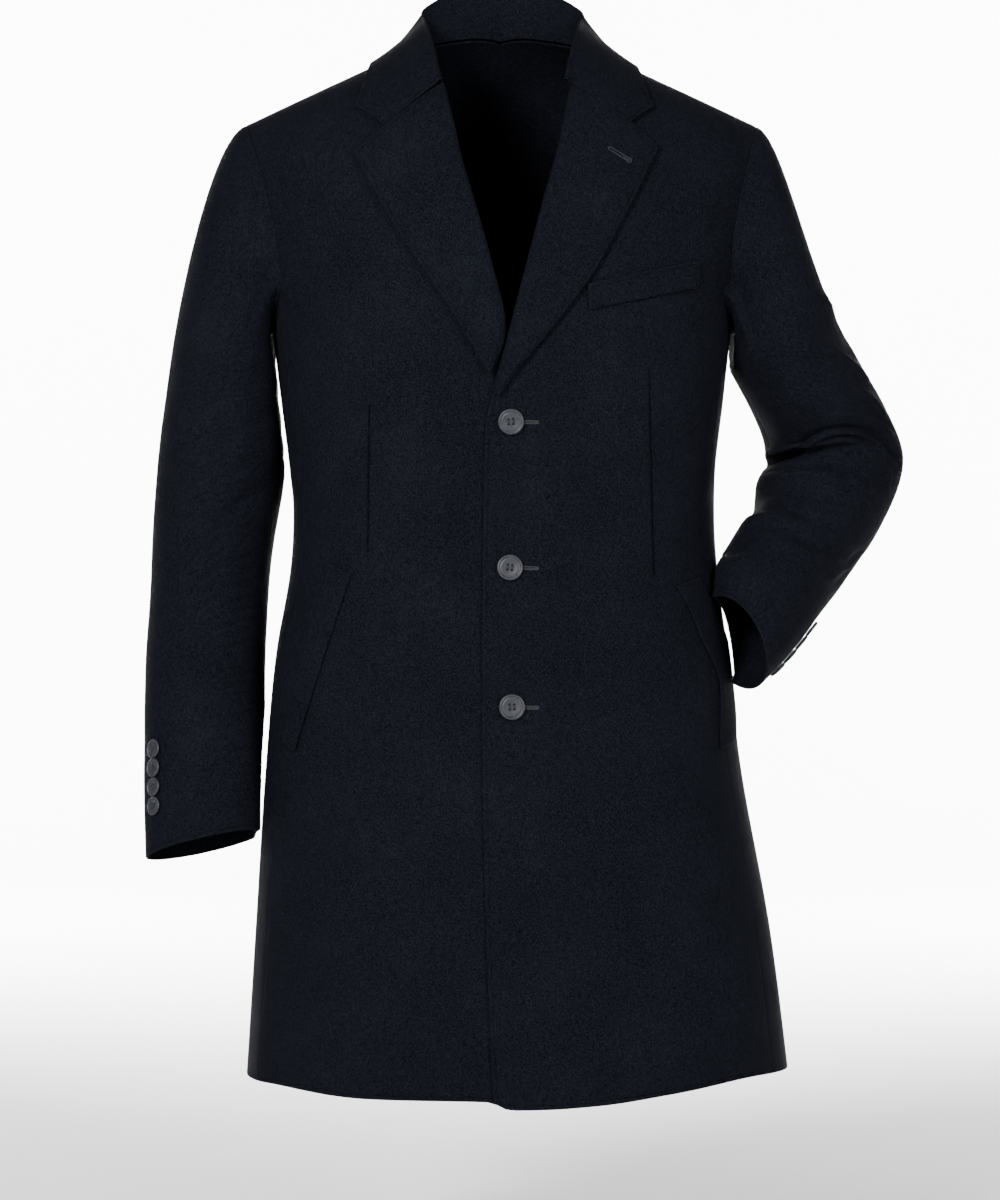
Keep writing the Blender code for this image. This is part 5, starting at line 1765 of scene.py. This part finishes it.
@dataclass(frozen=True)
class Wool:
    """Melton wool: a dense felted nap over a hidden weave, with a painted highlight along its edges
    and painted shade in its stitched lines.

    Attributes:
        name: the finish's name.
        dark: the nap's dark colour.
        light: the nap's light colour.
        grooves: stitched lines on this cloth, such as a dart.
        edge_line: how far from a finished edge its stitching lies.
        weave: how many threads lie in a metre, and so for fibre, clump and cloud.
        in_tone: what the nap, felt, mottle, weave, rib and a painted highlight along the edge add to
            the tone,
        and what painted shade in the stitching groove and in a sunk line takes from it.
        in_height: what the nap, felt, weave and rib add to the height, and what stitching and a
            sunk line take from it.
        relief: the bump's distance and strength.
    """

    name: str
    dark: tuple[float, float, float] = (0.0002, 0.0003, 0.0007)
    light: tuple[float, float, float] = (0.0044, 0.0051, 0.0078)
    grooves: Sequence[Groove] = ()
    edge_line: float = 0.0036
    edge_width: float = 0.0009
    roughness: float = 0.88
    sheen: float = 0.004
    sheen_tint: tuple[float, float, float] = (0.30, 0.36, 0.50)
    specular: float = 0.02
    sheen_rough: float = 0.55
    weave: float = 720.0
    fibre: float = 1000.0
    clump: float = 520.0
    cloud: float = 16.0
    middle_tone: float = 0.40
    in_tone: Sequence[float] = (2.8, 1.25, 0.35, 0.05, 0.04, 0.14, 0.10, 0.42)
    in_height: Sequence[float] = (0.30, 0.45, 0.04, 0.03, 0.5, 1.6)
    relief: tuple[float, float] = (0.0011, 0.75)

    def build(self) -> bpy.types.Material:
        """Makes the material.

        Returns:
            The material.
        """
        nodes = Nodes(self.name)
        where = nodes.where()
        edge = Socket(nodes, nodes.add("ShaderNodeAttribute", attribute_name="edge").outputs["Fac"])
        fibre = nodes.noise(where, self.fibre, 3.0, 0.7)
        clump = nodes.noise(where, self.clump, 3.0, 0.6)
        cloud = nodes.noise(where, self.cloud, 2.0)
        u, v, _ = nodes.parts(nodes.add("ShaderNodeUVMap", uv_map="cut").outputs[0])
        wander = 0.004 * nodes.noise(where, 60.0, 2.0)
        warp = ((u + wander) * self.weave * math.tau).sine()
        weft = ((v + wander) * self.weave * 0.9 * math.tau).sine()
        twill = ((u * self.weave + v * self.weave * 0.5 + wander * 90.0) * math.tau * 0.5).sine()
        # line: where the edge stitching runs; the tone darkens there as painted shade in its groove,
        # and the height sinks.
        line = edge.hill(self.edge_line, self.edge_width)
        # rim: where a painted highlight lightens the tone along each finished edge.
        rim = edge.hill(0.0, 0.0011)
        nap, felt, mottle, weave, rib, painted_edge_highlight, stitched, groove_shade = self.in_tone
        tone = (fibre - 0.5) * nap + (clump - 0.5) * felt + (cloud - 0.5) * mottle
        tone = tone + self.middle_tone + warp * weft * weave + twill * rib
        # Painted highlight along the finished edges; painted shade in the stitching groove beside
        # them.
        tone = tone + rim * painted_edge_highlight - line * stitched
        nap, felt, weave, rib, stitched, deep = self.in_height
        height = fibre * nap + clump * felt + warp * weft * weave + twill * rib - line * stitched
        if self.grooves:
            x, y, z = nodes.parts(where)
            facing = (y * -200.0).clamped()
            for groove in self.grooves:
                middle = x - (z - groove.low) * groove.lean
                length = z.between(groove.low, groove.high, groove.ease)
                sunk = middle.hill(groove.x, groove.width) * length * facing
                # Painted shade along the dart's sunk line.
                tone = tone - sunk * groove_shade
                height = height - sunk * deep
        nodes.colour(tone.clamped(), self.dark, self.light)
        shader = nodes.shader.inputs
        nodes.feed(shader["Roughness"], ((fibre - 0.5) * 0.16 + self.roughness).clamped())
        nodes.bump(height, *self.relief)
        shader["Sheen Weight"].default_value = self.sheen
        shader["Sheen Roughness"].default_value = self.sheen_rough
        shader["Sheen Tint"].default_value = (*self.sheen_tint, 1.0)
        shader["Specular IOR Level"].default_value = self.specular
        return nodes.material


@dataclass(frozen=True)
class Resin:
    """A button's cast resin, with a faint swirl and fine scuffs."""

    name: str = "button_resin"
    dark: tuple[float, float, float] = (0.003, 0.0034, 0.0048)
    light: tuple[float, float, float] = (0.0130, 0.0145, 0.0195)
    roughness: float = 0.44
    specular: float = 0.22

    def build(self) -> bpy.types.Material:
        """Makes the material.

        Returns:
            The material.
        """
        nodes = Nodes(self.name)
        where = nodes.where()
        swirl = nodes.noise(where, 190.0, 3.0, 0.5)
        bent = nodes.add("ShaderNodeVectorMath", operation="SCALE")
        nodes.feed(bent.inputs[0], where)
        nodes.feed(bent.inputs[3], swirl * 0.25 + 1.0)
        grain = nodes.noise(bent.outputs[0], 420.0, 4.0, 0.6)
        scuff = nodes.noise(where, 2600.0, 2.0, 0.7)
        tone = (swirl - 0.5) * 1.3 + (grain - 0.5) * 1.1 + 0.45
        nodes.colour(tone.clamped(), self.dark, self.light)
        worn = (scuff - 0.5) * 0.22 + self.roughness
        nodes.feed(nodes.shader.inputs["Roughness"], worn.clamped())
        nodes.bump(scuff * 0.5 + grain * 0.5, 0.00006, 0.5)
        nodes.shader.inputs["Specular IOR Level"].default_value = self.specular
        return nodes.material


@dataclass(frozen=True)
class Thread:
    """Twisted thread; in darker colours, a strip of painted shade inside a buttonhole's slit."""

    name: str
    dark: tuple[float, float, float] = (0.0010, 0.0013, 0.0024)
    light: tuple[float, float, float] = (0.0075, 0.0090, 0.0135)
    strands: float = 1900.0
    roughness: float = 0.7
    specular: float = 0.25

    def build(self) -> bpy.types.Material:
        """Makes the material.

        Returns:
            The material.
        """
        nodes = Nodes(self.name)
        where = nodes.where()
        x, _, z = nodes.parts(where)
        twist = ((x + z * 0.55) * self.strands * math.tau * 0.5).sine()
        fuzz = nodes.noise(where, 3200.0, 2.0)
        tone = twist * 0.25 + (fuzz - 0.5) * 1.2 + 0.5
        nodes.colour(tone.clamped(), self.dark, self.light)
        worn = (fuzz - 0.5) * 0.2 + self.roughness
        nodes.feed(nodes.shader.inputs["Roughness"], worn.clamped())
        nodes.bump(twist * 0.5 + fuzz * 0.5, 0.0002, 0.6)
        nodes.shader.inputs["Specular IOR Level"].default_value = self.specular
        return nodes.material


@dataclass(frozen=True)
class Lamp:
    """A large soft lamp: where it is, where it points, how wide and how strong it is."""

    name: str
    place: tuple[float, float, float]
    aim: tuple[float, float, float]
    size: float
    power: float


@dataclass(frozen=True)
class Studio:
    """The pale floor that curves up behind, the lamps, the world and the camera."""

    floor: float = -1.150
    wide: float = 16.0
    near: float = -8.0
    bend_at: float = 5.2
    bend: float = 1.8
    wall: float = 5.0
    paper: tuple[float, float, float] = (0.92, 0.92, 0.922)
    world: float = 0.52
    lens: float = 119.3
    sensor: float = 36.0
    farthest: float = 60.0
    camera: tuple[float, float, float] = (0.0, -3.64, -0.53)
    lamps: Sequence[Lamp] = (
        Lamp("lamp_key", (-1.7, -3.2, 0.9), (0.0, 0.0, -0.45), 1.1, 390.0),
        Lamp("lamp_fill", (2.3, -3.0, 0.5), (0.0, 0.0, -0.5), 1.4, 195.0),
        Lamp("lamp_paper_left", (-2.6, 3.4, 1.2), (0.0, 7.0, 0.0), 1.8, 1300.0),
        Lamp("lamp_paper_right", (2.6, 3.4, 1.2), (0.0, 7.0, 0.0), 1.8, 1300.0),
    )

    def paper_material(self) -> bpy.types.Material:
        """Makes the matte paper, with a faint mottle."""
        nodes = Nodes("paper")
        light = tuple(value * 1.02 for value in self.paper)
        nodes.colour(nodes.noise(nodes.where(), 3.0, 2.0), self.paper, light)
        nodes.shader.inputs["Roughness"].default_value = 0.95
        nodes.shader.inputs["Specular IOR Level"].default_value = 0.1
        return nodes.material

    def sweep(self) -> bpy.types.Object:
        """Makes the floor and backdrop as one curved sheet."""
        line = [(self.near, self.floor), (self.bend_at, self.floor)]
        for turn in np.linspace(0, 90, 25)[1:]:
            across, up = math.sin(math.radians(turn)), 1 - math.cos(math.radians(turn))
            line.append((self.bend_at + self.bend * across, self.floor + self.bend * up))
        line.append((line[-1][0], self.floor + self.wall))
        form = bmesh.new()
        ends = (-self.wide / 2, self.wide / 2)
        sides = [[form.verts.new((x, y, z)) for y, z in line] for x in ends]
        for k in range(len(line) - 1):
            form.faces.new((sides[0][k], sides[1][k], sides[1][k + 1], sides[0][k + 1]))
        backdrop = linked("backdrop", form)
        backdrop.data.shade_smooth()
        backdrop.data.materials.append(self.paper_material())
        return backdrop

    def build(self) -> None:
        """Makes the sweep, the lamps, the world and the camera."""
        self.sweep()
        for lamp in self.lamps:
            data = bpy.data.lights.new(lamp.name, "AREA")
            data.shape, data.size, data.energy = "DISK", lamp.size, lamp.power
            light = bpy.data.objects.new(lamp.name, data)
            light.location = lamp.place
            light.visible_camera = False
            way = Vector(lamp.aim) - Vector(lamp.place)
            light.rotation_euler = way.to_track_quat("-Z", "Y").to_euler()
            bpy.context.scene.collection.objects.link(light)
        world = bpy.data.worlds.new("studio")
        world.use_nodes = True
        sky = world.node_tree.nodes["Background"].inputs
        sky["Color"].default_value = (1.0, 1.0, 1.0, 1.0)
        sky["Strength"].default_value = self.world
        bpy.context.scene.world = world
        data = bpy.data.cameras.new("camera")
        data.lens, data.sensor_width, data.clip_end = self.lens, self.sensor, self.farthest
        camera = bpy.data.objects.new("camera", data)
        camera.location = self.camera
        camera.rotation_euler = (math.radians(90), 0.0, 0.0)
        bpy.context.scene.collection.objects.link(camera)
        bpy.context.scene.camera = camera


class Overcoat:
    """The whole coat: its cloth, sewing and buttons."""

    darts: dict = {
        Side.RIGHT: (Groove(-0.1176, 0.013, -0.487, -0.358),),
        Side.LEFT: (Groove(0.1370, -0.024, -0.508, -0.326),),
    }

    def __init__(self) -> None:
        """Makes the finishes and the two sides' panels."""
        self.wool = Wool("wool").build()
        self.fronts = {}
        for side in Side:
            finish = Wool(f"wool_front_{side.name.lower()}", grooves=self.darts[side])
            self.fronts[side] = finish.build()
        self.resin = Resin().build()
        self.thread = Thread("thread").build()
        # A near-black strip of painted shade, standing for the shadow inside each buttonhole's slit.
        self.slit = Thread("slit_painted_shade", (0.0004, 0.0005, 0.0008), (0.0012, 0.0015, 0.0022)).build()
        self.panels = {side: Panels(side) for side in Side}
        right_folds = folds(RIGHT_FOLDS, RIGHT_BACK_FOLDS)
        left_folds = folds(LEFT_FOLDS, LEFT_BACK_FOLDS)
        shapes = {
            Side.RIGHT: (RIGHT_RINGS, 12, 144, (-60, -110), RIGHT_CREASES, right_folds),
            Side.LEFT: (LEFT_RINGS, 18, 216, (-40, -80), LEFT_CREASES, left_folds),
        }
        self.sleeves = {side: Sleeve(self.panels[side], *shape) for side, shape in shapes.items()}

    def cloth(self) -> None:
        """Builds every cut piece."""
        for side, panels in self.panels.items():
            panels.front().build(self.fronts[side])
            for piece in (panels.back(), panels.side_body(), *self.sleeves[side].pieces()):
                piece.build(self.wool)
        Collar().piece().build(self.wool)
        for side, table in ((Side.RIGHT, LAPEL_RIGHT), (Side.LEFT, LAPEL_LEFT)):
            Lapel(side, table).piece().build(self.wool)
        for welt in WELTS:
            welt.piece().build(self.wool)

    def trim(self) -> None:
        """Builds the buttons and the buttonholes."""
        buttons = ButtonSet()
        every = buttons.front_buttons()
        for side, angle, first in buttons.cuffs:
            every += buttons.cuff_buttons(self.sleeves[side], angle, first)
        for button in every:
            button.build(self.resin, self.thread)
            log.info("%s: %.1f mm across", button.node, button.radius * 2000)
        for hole in buttons.holes():
            hole.build(self.thread, self.slit)
            log.info("%s", hole.name)


def main() -> None:
    """Builds the coat and the studio."""
    logging.basicConfig(level=logging.INFO, format="%(message)s")
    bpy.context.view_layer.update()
    coat = Overcoat()
    coat.cloth()
    coat.trim()
    Studio().build()


if __name__ == "__main__":
    main()
